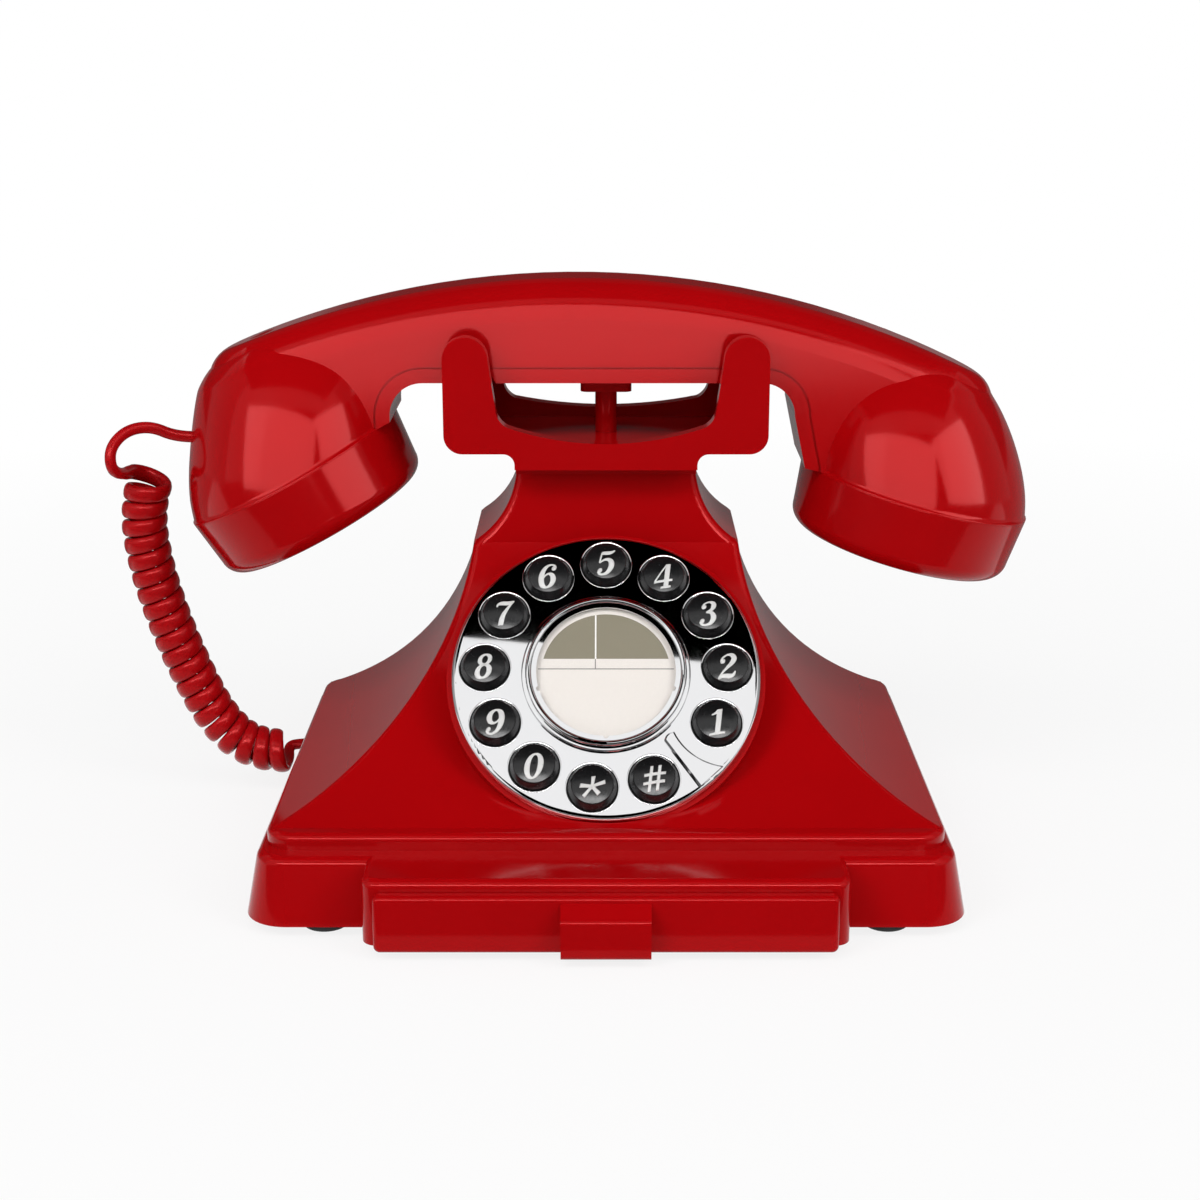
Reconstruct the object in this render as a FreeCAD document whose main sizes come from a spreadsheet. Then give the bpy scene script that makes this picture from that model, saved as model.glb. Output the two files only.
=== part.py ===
"""Desk telephone with push keys set in a rotary-style dial, with its handset on the cradle.

Millimetres. +X is to the right of someone who faces the dial, -Y is towards them and +Z is up. The origin
lies on the table, under the middle of the object's outline.
"""

import FreeCAD
import Part
import Sketcher

import math
import os
import re

from FreeCAD import Vector

SIZES = {
    # Feet and plinth
    "foot_height": 3.0,
    "foot_diameter": 12.0,
    "foot_plug_diameter": 6.0,
    "foot_plug_height": 2.0,
    "foot_inset_side": 20.0,
    "foot_inset_end": 9.0,
    "body_y": 8.8,
    "plinth_width": 181.0,
    "plinth_depth": 140.0,
    "plinth_draft": 11.0,
    "plinth_height": 17.0,
    "plinth_corner": 11.0,
    "plinth_edge": 2.4,
    "wall": 2.5,
    # Ledge above the plinth
    "ledge_height": 4.2,
    "ledge_width": 171.0,
    "ledge_depth": 124.0,
    "ledge_corner": 8.0,
    "ledge_edge": 1.8,
    # Tower with its hollow-cut faces, and the neck above its crease
    "tower_y": 32.0,
    "tower_width": 168.0,
    "tower_front": 57.5,
    "tower_rear": 57.5,
    "tower_height": 58.0,
    "tower_edge": 2.0,
    "side_hollow": 71.5,
    "front_hollow": 115.0,
    "rear_hollow": 150.0,
    "crease_width": 72.0,
    "crease_depth": 39.6,
    "neck_width": 48.8,
    "neck_depth": 33.0,
    "neck_height": 18.3,
    "neck_hollow": 24.0,
    # Fixings of the housing
    "post_diameter": 8.0,
    "post_inset_side": 12.5,
    "post_inset_end": 19.0,
    "screw_diameter": 3.0,
    "screw_head_diameter": 5.6,
    "screw_head_height": 1.8,
    "screw_length": 11.0,
    "thread_room": 0.1,
    # Base plate
    "plate_thickness": 2.5,
    "plate_room": 0.3,
    "rail_height": 0.5,
    "rail_width": 4.0,
    # Drawer and the block that it slides into
    "block_width": 119.0,
    "block_reach": 10.3,
    "block_corner": 4.0,
    "block_edge": 2.0,
    "drawer_front_width": 112.6,
    "drawer_front_height": 14.8,
    "drawer_front_thickness": 2.7,
    "drawer_front_drop": 0.7,
    "drawer_front_corner": 1.6,
    "drawer_front_edge": 1.2,
    "drawer_gap": 0.3,
    "pull_width": 21.8,
    "pull_reach": 4.0,
    "pull_height": 10.5,
    "pull_rise": 2.8,
    "pull_edge": 1.4,
    "tray_width": 106.0,
    "tray_length": 112.0,
    "tray_height": 9.6,
    "tray_wall": 1.8,
    "tray_room": 0.8,
    "tray_lift": 0.2,
    # Cover over the drawer, which carries the main board
    "cover_wall": 1.6,
    "cover_flange": 6.5,
    "cover_length": 92.0,
    "cover_screw_pitch": 70.0,
    "small_screw_diameter": 2.2,
    "small_head_diameter": 4.2,
    "small_head_height": 1.4,
    "standoff_height": 5.8,
    "standoff_diameter": 6.0,
    "board_thickness": 1.6,
    "board_width": 100.0,
    "board_depth": 52.0,
    "board_y": 14.0,
    "board_hole_inset": 4.0,
    "sounder_diameter": 24.0,
    "sounder_height": 9.0,
    "sounder_edge": 1.0,
    "sounder_x": -28.0,
    "ballast_width": 80.0,
    "ballast_depth": 18.0,
    "ballast_height": 8.0,
    "ballast_y": 59.0,
    # Sockets
    "socket_height": 10.5,
    "handset_socket_y": 49.5,
    "handset_socket_z": 10.0,
    "handset_socket_width": 12.0,
    "handset_socket_length": 15.0,
    "handset_bore_width": 7.8,
    "handset_bore_height": 6.8,
    "handset_bore_depth": 11.0,
    "line_socket_x": 59.0,
    "line_socket_width": 14.0,
    "line_socket_length": 15.5,
    "line_bore_width": 10.0,
    "line_bore_height": 7.0,
    "line_bore_depth": 12.0,
    "window_margin": 0.7,
    # Dial
    "dial_y": -20.5,
    "dial_z": 55.6,
    "dial_tilt": 48.0,
    "dial_diameter": 80.6,
    "dial_thickness": 2.3,
    "dial_edge": 1.5,
    "boss_diameter": 83.2,
    "boss_depth": 24.0,
    "bore_diameter": 78.0,
    "dial_room": 0.3,
    "spigot_wall": 2.0,
    "spigot_length": 3.7,
    "spigot_room": 0.2,
    "spigot_scallop": 0.4,
    "key_circle": 31.6,
    "key_pitch": 28.95,
    "key_first": -25.8,
    "key_diameter": 12.4,
    "key_room": 0.2,
    "key_rise": 0.3,
    "key_wall": 2.0,
    "key_shoulder": 10.6,
    "key_shoulder_round": 0.5,
    "key_crown": 1.0,
    "key_hole_bevel": 0.4,
    "key_flange": 14.2,
    "key_flange_thickness": 0.95,
    "key_seat": 0.05,
    "key_stem": 5.0,
    "key_stem_length": 3.2,
    "key_travel": 2.0,
    "stop_left": 4.4,
    "stop_right": 3.9,
    "stop_tip_left": 2.2,
    "stop_tip_right": 1.4,
    "stop_tip_round": 2.6,
    "stop_hollow": 15.8,
    "stop_height": 1.0,
    "stop_bevel": 0.5,
    "stop_inner": 24.0,
    "stop_outer": 39.2,
    "bezel_diameter": 44.0,
    "bezel_height": 2.4,
    "bezel_foot": 1.0,
    "bezel_foot_height": 1.0,
    "bezel_foot_round": 0.4,
    "bezel_crown": 0.8,
    "bezel_lip": 0.5,
    "bezel_lip_height": 1.9,
    "bezel_notch": 0.7,
    "card_diameter": 36.8,
    "card_thickness": 0.4,
    "window_thickness": 1.0,
    "collar_diameter": 9.0,
    "collar_bore": 7.0,
    "collar_gap": 0.3,
    "mat_thickness": 1.0,
    "mat_diameter": 73.0,
    "keypad_post_circle": 20.5,
    "keypad_post_diameter": 5.0,
    "keypad_post_length": 7.7,
    "keypad_post_bore": 6.0,
    "keypad_screw_grip": 5.0,
    # Cradle and hook
    "cradle_width": 86.4,
    "cradle_depth": 48.0,
    "cradle_plate": 4.5,
    "cradle_waist": 7.0,
    "cradle_floor": 1.8,
    "fork_corner": 5.0,
    "prong_width": 12.0,
    "prong_height": 31.2,
    "prong_taper": 2.0,
    "saucer_width": 52.0,
    "saucer_rim": 7.1,
    "saucer_sweep": 80.8,
    "rear_sweep": 131.0,
    "saucer_corner": 5.5,
    "saucer_corner_rise": 4.4,
    "waist_flare": 3.0,
    "apron_height": 4.3,
    "cradle_screw_x": 14.0,
    "rest_inset": 1.2,
    "rest_width": 9.0,
    "rest_gap": 0.05,
    "plunger_diameter": 6.0,
    "plunger_room": 0.1,
    "plunger_head_width": 14.0,
    "plunger_head_depth": 9.0,
    "plunger_head_height": 4.2,
    "plunger_stop": 0.2,
    "tip_stand": 0.4,
    "plunger_gap": 0.3,
    "plunger_flange": 9.0,
    "plunger_flange_height": 1.8,
    "plunger_travel": 4.0,
    "plunger_tip": 4.6,
    "bracket_drop": 14.0,
    "bracket_thickness": 2.0,
    "bracket_width": 40.0,
    "bracket_depth": 22.0,
    "bracket_post_x": 15.0,
    "bracket_post_y": 10.0,
    "bracket_post_bore": 8.0,
    "bracket_screw_grip": 6.0,
    "spring_diameter": 8.0,
    "spring_wire": 0.7,
    "spring_turns": 5.0,
    "spring_seat": 0.05,
    "switch_width": 20.0,
    "switch_depth": 7.0,
    "switch_height": 10.0,
    "pin_width": 1.6,
    "pin_thickness": 0.6,
    # Handset
    "handset_x": -2.2,
    "handset_underside": 125.2,
    "handle_width": 32.0,
    "handle_rise": 26.9,
    "handle_arch": 240.0,
    "handle_arch_x": -5.8,
    "handle_crown": 10.0,
    "handle_thickness": 46.0,
    "handle_left_turn": 21.8,
    "handle_right_turn": 25.5,
    "grip_left": -47.0,
    "grip_right": 44.0,
    "grip_round": 9.0,
    "grip_flare": 3.0,
    "grip_flare_drop": 14.0,
    "strip_height": 3.8,
    "parting_width": 0.5,
    "parting_depth": 0.6,
    "ear_x": -84.5,
    "ear_drop": 52.8,
    "ear_tilt": 28.1,
    "mouth_x": 88.2,
    "mouth_drop": 58.6,
    "mouth_tilt": 14.7,
    "cup_diameter": 64.6,
    "cup_height": 18.3,
    "cup_taper": 1.3,
    "cup_lip": 0.3,
    "cup_edge": 5.0,
    "cup_wall": 3.3,
    "cup_bore": 49.0,
    "cup_spigot": 4.0,
    "cup_spigot_wall": 2.3,
    "cup_spigot_room": 0.2,
    "cup_hole": 3.0,
    "cup_hole_circle": 15.0,
    "dome_lean": 0.16,
    "dome_diameter": 63.6,
    "dome_low": 12.0,
    "dome_low_diameter": 56.6,
    "dome_middle": 21.0,
    "dome_middle_diameter": 46.6,
    "dome_top": 31.0,
    "dome_top_diameter": 34.0,
    "dome_bore_depth": 6.0,
    "dome_hollow_diameter": 40.0,
    "dome_hollow_depth": 14.0,
    "receiver_diameter": 44.0,
    "receiver_height": 11.0,
    "microphone_diameter": 24.0,
    "microphone_height": 9.0,
    "channel_length": 72.0,
    "channel_width": 17.0,
    "channel_height": 12.0,
    "weight_length": 64.0,
    "weight_width": 14.0,
    "weight_height": 9.0,
    "handset_screw_x": 40.5,
    "handset_screw_length": 9.0,
    "head_room": 0.4,
    "sink_room": 0.3,
    # Handset cord
    "gland_x": -111.9,
    "gland_drop": 44.8,
    "gland_diameter": 5.2,
    "gland_length": 6.0,
    "gland_room": 0.1,
    "cord_diameter": 3.0,
    "curl_diameter": 13.2,
    "curl_turns": 20,
    "curl_flare": 0.6,
    "lead_run": 5.4,
    "plug_width": 7.4,
    "plug_height": 6.4,
    "plug_inside": 10.0,
    "plug_stand": -2.5,
    "plug_boot": 1.0,
    "boot_wall": 0.7,
}

# Levels above the table, as sums of sizes
PLINTH_TOP = "(foot_height + plinth_height)"
LEDGE_TOP = "(foot_height + plinth_height + ledge_height)"
CREASE = "(foot_height + plinth_height + ledge_height + tower_height)"
NECK_TOP = "(foot_height + plinth_height + ledge_height + tower_height + neck_height)"
FORK_BASE = "(foot_height + plinth_height + ledge_height + tower_height + neck_height + cradle_waist)"
PLATE_TOP = "(foot_height + plate_thickness)"
PLINTH_IN = "(plinth_height * tan(plinth_draft))"
TRAY_BASE = "(foot_height + plate_thickness + rail_height + tray_lift)"
TRAY_TOP = "(foot_height + plate_thickness + rail_height + tray_lift + tray_height)"
COVER_TOP = "(foot_height + plate_thickness + rail_height + tray_lift + tray_height + tray_room + cover_wall)"
BOARD_BASE = "(%s + standoff_height)" % COVER_TOP
BRACKET_TOP = "(%s - wall - bracket_drop)" % NECK_TOP
BOARD_LEVEL = "(-dial_thickness - keypad_post_length)"
HANDLE_TOP = "(handset_underside + handle_rise)"

# The front and rear of the base
PLINTH_FRONT = "(body_y - plinth_depth / 2)"
PLINTH_REAR = "(body_y + plinth_depth / 2)"
BLOCK_FRONT = "(body_y - plinth_depth / 2 - block_reach)"

doc = FreeCAD.newDocument("desk_telephone")
sheet = doc.addObject("Spreadsheet::Sheet", "Sizes")
for row, (alias, amount) in enumerate(SIZES.items(), start=1):
    sheet.set("A%d" % row, alias)
    sheet.set("B%d" % row, str(amount))
    sheet.setAlias("B%d" % row, alias)
doc.recompute()

pieces = []


# Helpers: sizes, outlines and features

def tied(text):
    """The expression with each size's name led back to its cell."""
    def cell(word):
        return "Sizes." + word.group() if word.group() in SIZES else word.group()
    return re.sub(r"[a-z][a-z_0-9]*", cell, text)


def size(text):
    """The present value of an expression of sizes."""
    return float(sheet.evalExpression(text))


def new_body(name):
    return doc.addObject("PartDesign::Body", name)


def arc_middle(start, end, radius, side):
    """The middle of the short arc from start to end, with its centre on the left (1) or right (-1)."""
    chord = end - start
    middle = (start + end) * 0.5
    left = Vector(-chord.y, chord.x, 0).normalize()
    depth = math.sqrt(max(radius ** 2 - chord.Length ** 2 / 4, 0.0))
    return middle - left * side * (radius - depth)


def draw(target, corners):
    """A closed outline in a sketch, each corner held by its two distances from the origin.

    A corner is (x, y), or (x, y, radius, side) where the edge that leaves it is an arc.
    """
    first = target.GeometryCount
    count = len(corners)
    points = [Vector(size(corner[0]), size(corner[1]), 0) for corner in corners]
    for index, corner in enumerate(corners):
        start = points[index]
        end = points[(index + 1) % count]
        if len(corner) == 2:
            target.addGeometry(Part.LineSegment(start, end))
        else:
            middle = arc_middle(start, end, size(corner[2]), corner[3])
            target.addGeometry(Part.Arc(start, middle, end))

    def end_at(edge, point):
        gaps = [(target.getPoint(edge, which) - point).Length for which in (1, 2)]
        return 1 if gaps[0] <= gaps[1] else 2

    rules = []
    ties = []
    for index, corner in enumerate(corners):
        edge = first + index
        before = first + (index - 1) % count
        point = points[index]
        here = end_at(edge, point)
        rules.append(Sketcher.Constraint("Coincident", before, end_at(before, point), edge, here))
        ties.append(None)
        rules.append(Sketcher.Constraint("DistanceX", -1, 1, edge, here, point.x))
        ties.append(corner[0])
        rules.append(Sketcher.Constraint("DistanceY", -1, 1, edge, here, point.y))
        ties.append(corner[1])
        if len(corner) > 2:
            rules.append(Sketcher.Constraint("Radius", edge, size(corner[2])))
            ties.append(corner[2])
    hold(target, rules, ties)


def ring(target, x, y, radius):
    """A circle in a sketch, held by its centre and radius."""
    circle = Part.Circle(Vector(size(x), size(y), 0), Vector(0, 0, 1), size(radius))
    edge = target.addGeometry(circle)
    rules = [
        Sketcher.Constraint("DistanceX", -1, 1, edge, 3, size(x)),
        Sketcher.Constraint("DistanceY", -1, 1, edge, 3, size(y)),
        Sketcher.Constraint("Radius", edge, size(radius)),
    ]
    hold(target, rules, [x, y, radius])


def hold(target, rules, ties):
    numbers = target.addConstraint(rules)
    for number, text in zip(numbers, ties):
        if text is not None:
            target.setExpression("Constraints[%d]" % number, tied(text))


def drawn(body, name, plane, offset, outlines):
    """A sketch on one of the body's own planes, with outlines given as corners or as ("ring", x, y, radius)."""
    target = body.newObject("Sketcher::SketchObject", name + "_sketch")
    role = plane + "_Plane"
    target.AttachmentSupport = [(next(o for o in body.Origin.OriginFeatures if o.Role == role), "")]
    target.MapMode = "FlatFace"
    target.setExpression("AttachmentOffset.Base.z", tied(offset))
    for outline in outlines:
        if outline[0] == "ring":
            ring(target, *outline[1:])
        else:
            draw(target, outline)
    return target


def pad(body, name, plane, low, high, *outlines):
    """Material between two levels across a plane: X for YZ, Y for XZ and Z for XY."""
    offset = "-(%s)" % high if plane == "XZ" else low
    profile = drawn(body, name, plane, offset, outlines)
    feature = body.newObject("PartDesign::Pad", name)
    feature.Profile = profile
    feature.setExpression("Length", tied("(%s) - (%s)" % (high, low)))
    return feature


def pocket(body, name, plane, low, high, *outlines):
    """A cut between two levels across a plane."""
    offset = "-(%s)" % low if plane == "XZ" else high
    profile = drawn(body, name, plane, offset, outlines)
    feature = body.newObject("PartDesign::Pocket", name)
    feature.Profile = profile
    feature.setExpression("Length", tied("(%s) - (%s)" % (high, low)))
    return feature


def revolve(body, name, outline):
    """A turned form about the body's Z axis, its outline given as radius and height."""
    profile = drawn(body, name, "XZ", "0", [outline])
    feature = body.newObject("PartDesign::Revolution", name)
    feature.Profile = profile
    feature.ReferenceAxis = (profile, ["V_Axis"])
    feature.Angle = 360
    return feature


def loft(body, name, sections, ruled):
    """A form drawn through outlines at several heights, each given as (height, outline)."""
    profiles = [drawn(body, "%s_%d" % (name, number), "XY", height, [outline])
                for number, (height, outline) in enumerate(sections)]
    feature = body.newObject("PartDesign::AdditiveLoft", name)
    feature.Profile = profiles[0]
    feature.Sections = profiles[1:]
    feature.Ruled = ruled
    return feature


def dressed(body, name, kind, chosen):
    """A fillet or chamfer on the edges of the body that the test picks out."""
    doc.recompute()
    base = body.Tip
    names = ["Edge%d" % number for number, edge in enumerate(base.Shape.Edges, start=1) if chosen(edge)]
    feature = body.newObject("PartDesign::" + kind, name)
    feature.Base = (base, names)
    return feature


def fillet(body, name, radius, chosen):
    feature = dressed(body, name, "Fillet", chosen)
    feature.setExpression("Radius", tied(radius))
    return feature


def chamfer(body, name, breadth, chosen):
    feature = dressed(body, name, "Chamfer", chosen)
    feature.setExpression("Size", tied(breadth))
    return feature


def rounded(width, depth, corner, y="0"):
    """A rectangle with round corners, centred on x = 0 and on y."""
    a = "(%s) / 2" % width
    b = "(%s) / 2" % depth
    c = "(%s)" % corner
    left = "-%s + %s" % (a, c)
    right = "%s - %s" % (a, c)
    front = "%s - %s" % (y, b)
    rear = "%s + %s" % (y, b)
    return [
        (left, front),
        (right, front, c, 1),
        (a, "%s + %s" % (front, c)),
        (a, "%s - %s" % (rear, c), c, 1),
        (right, rear),
        (left, rear, c, 1),
        ("-%s" % a, "%s - %s" % (rear, c)),
        ("-%s" % a, "%s + %s" % (front, c), c, 1),
    ]


def box(x_low, x_high, y_low, y_high):
    return [(x_low, y_low), (x_high, y_low), (x_high, y_high), (x_low, y_high)]


def place(item, x, y, z, axis="0; 0; 1", angle="0"):
    text = "placement(vector(%s; %s; %s); rotation(vector(%s); %s))" % (x, y, z, axis, angle)
    item.setExpression("Placement", tied(text))
    return item


def dial_place(item, across="0", up="0", out="0"):
    """Puts an item in the dial's own frame: across, up the slope, and out along the dial's normal."""
    y = "dial_y + (%s) * cos(dial_tilt) - (%s) * sin(dial_tilt)" % (up, out)
    z = "dial_z + (%s) * sin(dial_tilt) + (%s) * cos(dial_tilt)" % (up, out)
    return place(item, across, y, z, "1; 0; 0", "dial_tilt")


def ear_place(item, out="0"):
    """Puts an item in the frame of the ear cap: its origin is the middle of the seam, and z goes up."""
    x = "ear_x + handset_x - (%s) * sin(ear_tilt)" % out
    z = "%s - ear_drop + (%s) * cos(ear_tilt)" % (HANDLE_TOP, out)
    return place(item, x, "tower_y", z, "0; 1; 0", "-ear_tilt")


def mouth_place(item, out="0"):
    """Puts an item in the frame of the mouth cap, as for the ear cap."""
    x = "mouth_x + handset_x + (%s) * sin(mouth_tilt)" % out
    z = "%s - mouth_drop + (%s) * cos(mouth_tilt)" % (HANDLE_TOP, out)
    return place(item, x, "tower_y", z, "0; 1; 0", "mouth_tilt")


def cylinder(name, radius, height):
    item = doc.addObject("Part::Cylinder", name)
    item.setExpression("Radius", tied(radius))
    item.setExpression("Height", tied(height))
    return item


def block(name, x, y, z, length, width, height):
    """A plain box from its lowest corner."""
    item = doc.addObject("Part::Box", name)
    item.setExpression("Length", tied(length))
    item.setExpression("Width", tied(width))
    item.setExpression("Height", tied(height))
    return place(item, x, y, z)


def fuse(name, *items):
    item = doc.addObject("Part::MultiFuse", name)
    item.Shapes = list(items)
    return item


def cut(name, base, *tools):
    item = doc.addObject("Part::Cut", name)
    item.Base = base
    item.Tool = tools[0] if len(tools) == 1 else fuse(name + "_tools", *tools)
    return item


def common(name, first, second):
    item = doc.addObject("Part::MultiCommon", name)
    item.Shapes = [first, second]
    return item


def group(name, items):
    item = doc.addObject("Part::Compound", name)
    item.Links = items
    return item


def piece(item, label):
    """Names a finished piece of the object."""
    item.Label = label
    pieces.append(item)
    return item


def screw(name, head_diameter, head_height, diameter, length):
    """A pan-head screw whose head sits above z = 0 and whose shank points down."""
    body = new_body(name)
    rim = "(%s) / 2" % head_diameter
    core = "(%s) / 2" % diameter
    revolve(body, name + "_turned", [
        ("0", "-(%s)" % length),
        (core, "-(%s)" % length),
        (core, "0"),
        (rim, "0"),
        (rim, "(%s) / 2" % head_height, "(%s) / 2" % head_height, 1),
        ("%s - (%s) / 2" % (rim, head_height), head_height),
        ("0", head_height),
    ])
    return body


def large_screw(name, length):
    return screw(name, "screw_head_diameter", "screw_head_height", "screw_diameter", length)


def small_screw(name, length):
    return screw(name, "small_head_diameter", "small_head_height", "small_screw_diameter", length)


# Housing

def plinth_form(name, inset, low, high):
    body = new_body(name)
    outline = rounded("plinth_width - 2 * (%s)" % inset, "plinth_depth - 2 * (%s)" % inset,
                      "plinth_corner - (%s)" % inset, "body_y")
    feature = pad(body, name + "_pad", "XY", low, high, outline)
    feature.setExpression("TaperAngle", tied("-plinth_draft"))
    return body


def ledge_form(name, inset, low, high):
    body = new_body(name)
    width = "ledge_width - 2 * (%s)" % inset
    depth = "ledge_depth - 2 * (%s)" % inset
    pad(body, name + "_pad", "XY", low, high, rounded(width, depth, "ledge_corner - (%s)" % inset, "body_y"))
    return body


def tower_form(name, inset, drop):
    """The tower and neck: the front view's outline run back, then trimmed to the side view's outline."""
    body = new_body(name)
    foot = "(tower_width / 2 - %s)" % inset
    waist = "(crease_width / 2 - %s)" % inset
    neck = "(neck_width / 2 - %s)" % inset
    low = LEDGE_TOP + " - 2 * wall"
    foot_z = "%s - %s" % (LEDGE_TOP, drop)
    crease_z = "%s - %s" % (CREASE, drop)
    neck_z = "%s - %s" % (NECK_TOP, drop)
    pad(body, name + "_front_view", "XZ", PLINTH_FRONT, PLINTH_REAR, [
        ("-" + foot, low),
        (foot, low),
        (foot, foot_z, "side_hollow", -1),
        (waist, crease_z, "neck_hollow", -1),
        (neck, neck_z),
        ("-" + neck, neck_z, "neck_hollow", -1),
        ("-" + waist, crease_z, "side_hollow", -1),
        ("-" + foot, foot_z),
    ])
    front = "(body_y - tower_front + %s)" % inset
    rear = "(body_y + tower_rear - %s)" % inset
    crease_front = "(tower_y - crease_depth / 2 + %s)" % inset
    crease_rear = "(tower_y + crease_depth / 2 - %s)" % inset
    neck_front = "(tower_y - neck_depth / 2 + %s)" % inset
    neck_rear = "(tower_y + neck_depth / 2 - %s)" % inset
    frame = box(PLINTH_FRONT + " - 5", PLINTH_REAR + " + 5", low + " - 5", NECK_TOP + " + 5")
    pocket(body, name + "_side_view", "YZ", "-plinth_width", "plinth_width", frame, [
        (front, low),
        (rear, low),
        (rear, foot_z, "rear_hollow", -1),
        (crease_rear, crease_z),
        (neck_rear, neck_z),
        (neck_front, neck_z),
        (crease_front, crease_z, "front_hollow", -1),
        (front, foot_z),
    ])
    return body


def along_edge(edge, low, high):
    """Tells whether an edge lies wholly between two levels and isn't flat."""
    box_of_edge = edge.BoundBox
    return box_of_edge.ZMin > low and box_of_edge.ZMax < high and box_of_edge.ZLength > 1.0


def flat_at(edge, level):
    return edge.BoundBox.ZLength < 0.01 and abs(edge.BoundBox.ZMin - level) < 0.01


def posts(name, places, diameter, low, high):
    """Upright cylinders on a list of places."""
    items = []
    for number, (x, y) in enumerate(places):
        item = cylinder("%s_%d" % (name, number), "(%s) / 2" % diameter, "(%s) - (%s)" % (high, low))
        items.append(place(item, x, y, low))
    return items


POST_X = "(plinth_width / 2 - post_inset_side)"
POST_PLACES = [(sign + POST_X, y) for sign in ("-", "") for y in
               (PLINTH_FRONT + " + post_inset_end", PLINTH_REAR + " - post_inset_end")]
FOOT_X = "(plinth_width / 2 - foot_inset_side)"
FOOT_PLACES = [(sign + FOOT_X, y) for sign in ("-", "") for y in
               (PLINTH_FRONT + " + foot_inset_end", PLINTH_REAR + " - foot_inset_end")]
CRADLE_SCREW_PLACES = [(sign + "cradle_screw_x", "tower_y") for sign in ("-", "")]
BRACKET_PLACES = [(sign + "bracket_post_x", "tower_y + bracket_post_y") for sign in ("-", "")]
COVER_X = "(tray_width / 2 + tray_room + cover_wall + cover_flange / 2)"
COVER_PLACES = [(sign + COVER_X, "%scover_screw_pitch / 2" % end) for sign in ("-", "") for end in ("-", "")]
BOARD_X = "(board_width / 2 - board_hole_inset)"
BOARD_PLACES = [(sign + BOARD_X, "board_y %s (board_depth / 2 - board_hole_inset)" % end)
                for sign in ("-", "") for end in ("-", "+")]
BALLAST_PLACES = [(sign + "ballast_width / 3", "ballast_y") for sign in ("-", "")]

DRAWER_SIDE = "(tray_width / 2 + tray_room)"
MOUTH_TOP = "(%s + tray_room)" % TRAY_TOP


def make_housing():
    plinth = plinth_form("plinth", "0", "foot_height", PLINTH_TOP)
    fillet(plinth, "plinth_round", "plinth_edge", lambda edge: flat_at(edge, size(PLINTH_TOP)))
    ledge = ledge_form("ledge", "0", PLINTH_TOP + " - wall", LEDGE_TOP)
    fillet(ledge, "ledge_round", "ledge_edge", lambda edge: flat_at(edge, size(LEDGE_TOP)))
    tower = tower_form("tower", "0", "0")
    fillet(tower, "tower_round", "tower_edge",
           lambda edge: along_edge(edge, size(LEDGE_TOP) - 0.5, size(NECK_TOP) + 0.5))
    drawer_block = new_body("drawer_block")
    depth = "(block_reach + plinth_corner + 4)"
    pad(drawer_block, "block_pad", "XY", "foot_height", PLINTH_TOP,
        rounded("block_width", depth, "block_corner", "%s + %s / 2" % (BLOCK_FRONT, depth)))
    fillet(drawer_block, "block_round", "block_edge", lambda edge: flat_at(edge, size(PLINTH_TOP)))
    boss = cylinder("dial_boss", "boss_diameter / 2", "boss_depth")
    dial_place(boss, out="-dial_thickness - boss_depth")
    outside = fuse("housing_outside", plinth, ledge, tower, drawer_block, boss)

    plinth_hollow = plinth_form("plinth_hollow", "wall", "foot_height", PLINTH_TOP + " - wall")
    ledge_hollow = ledge_form("ledge_hollow", "wall + ledge_edge", PLINTH_TOP + " - wall - 1",
                              LEDGE_TOP + " - wall")
    tower_hollow = tower_form("tower_hollow", "wall", "wall")
    bore = dial_place(cylinder("dial_bore", "bore_diameter / 2", "boss_depth + 4"), out="-boss_depth - 4")
    recess = cylinder("dial_recess", "dial_diameter / 2 + dial_room", "boss_depth")
    dial_place(recess, out="-dial_thickness")
    mouth = block("drawer_mouth", "-" + DRAWER_SIDE, BLOCK_FRONT + " - 1", "foot_height",
                  "2 * " + DRAWER_SIDE, "block_reach + plinth_corner + 20", MOUTH_TOP + " - foot_height")
    handset_window = block(
        "handset_window", "-plinth_width / 2 - 1",
        "handset_socket_y - handset_bore_width / 2 - window_margin",
        "handset_socket_z - handset_bore_height / 2 - window_margin",
        PLINTH_IN + " + wall + 2", "handset_bore_width + 2 * window_margin",
        "handset_bore_height + 2 * window_margin")
    line_window = block(
        "line_window", "line_socket_x - line_bore_width / 2 - window_margin",
        PLINTH_REAR + " - %s - wall - 1" % PLINTH_IN,
        "handset_socket_z - line_bore_height / 2 - window_margin",
        "line_bore_width + 2 * window_margin", PLINTH_IN + " + wall + 2",
        "line_bore_height + 2 * window_margin")
    shell = cut("housing_shell", outside, plinth_hollow, ledge_hollow, tower_hollow, bore, recess, mouth,
                handset_window, line_window)

    corner_posts = posts("corner_post", POST_PLACES, "post_diameter", PLATE_TOP, LEDGE_TOP + " + 0.3")
    bracket_posts = posts("bracket_post", BRACKET_PLACES, "standoff_diameter", BRACKET_TOP,
                          NECK_TOP + " - wall + 0.5")
    posted = fuse("housing_posted", shell, *corner_posts, *bracket_posts)
    thread = "screw_diameter + 2 * thread_room"
    bores = posts("corner_bore", POST_PLACES, thread, PLATE_TOP, "foot_height + screw_length + 1")
    small_thread = "small_screw_diameter + 2 * thread_room"
    bores += posts("bracket_bore", BRACKET_PLACES, small_thread, BRACKET_TOP,
                   BRACKET_TOP + " + bracket_post_bore")
    bores += posts("cradle_hole", CRADLE_SCREW_PLACES, thread, NECK_TOP + " - wall - 1", NECK_TOP + " + 1")
    bores += posts("plunger_hole", [("0", "tower_y")], "plunger_diameter + 2 * plunger_room",
                   NECK_TOP + " - wall - 1", NECK_TOP + " + 1")
    piece(cut("housing", posted, *bores), "upper_housing")


# Base

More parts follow.
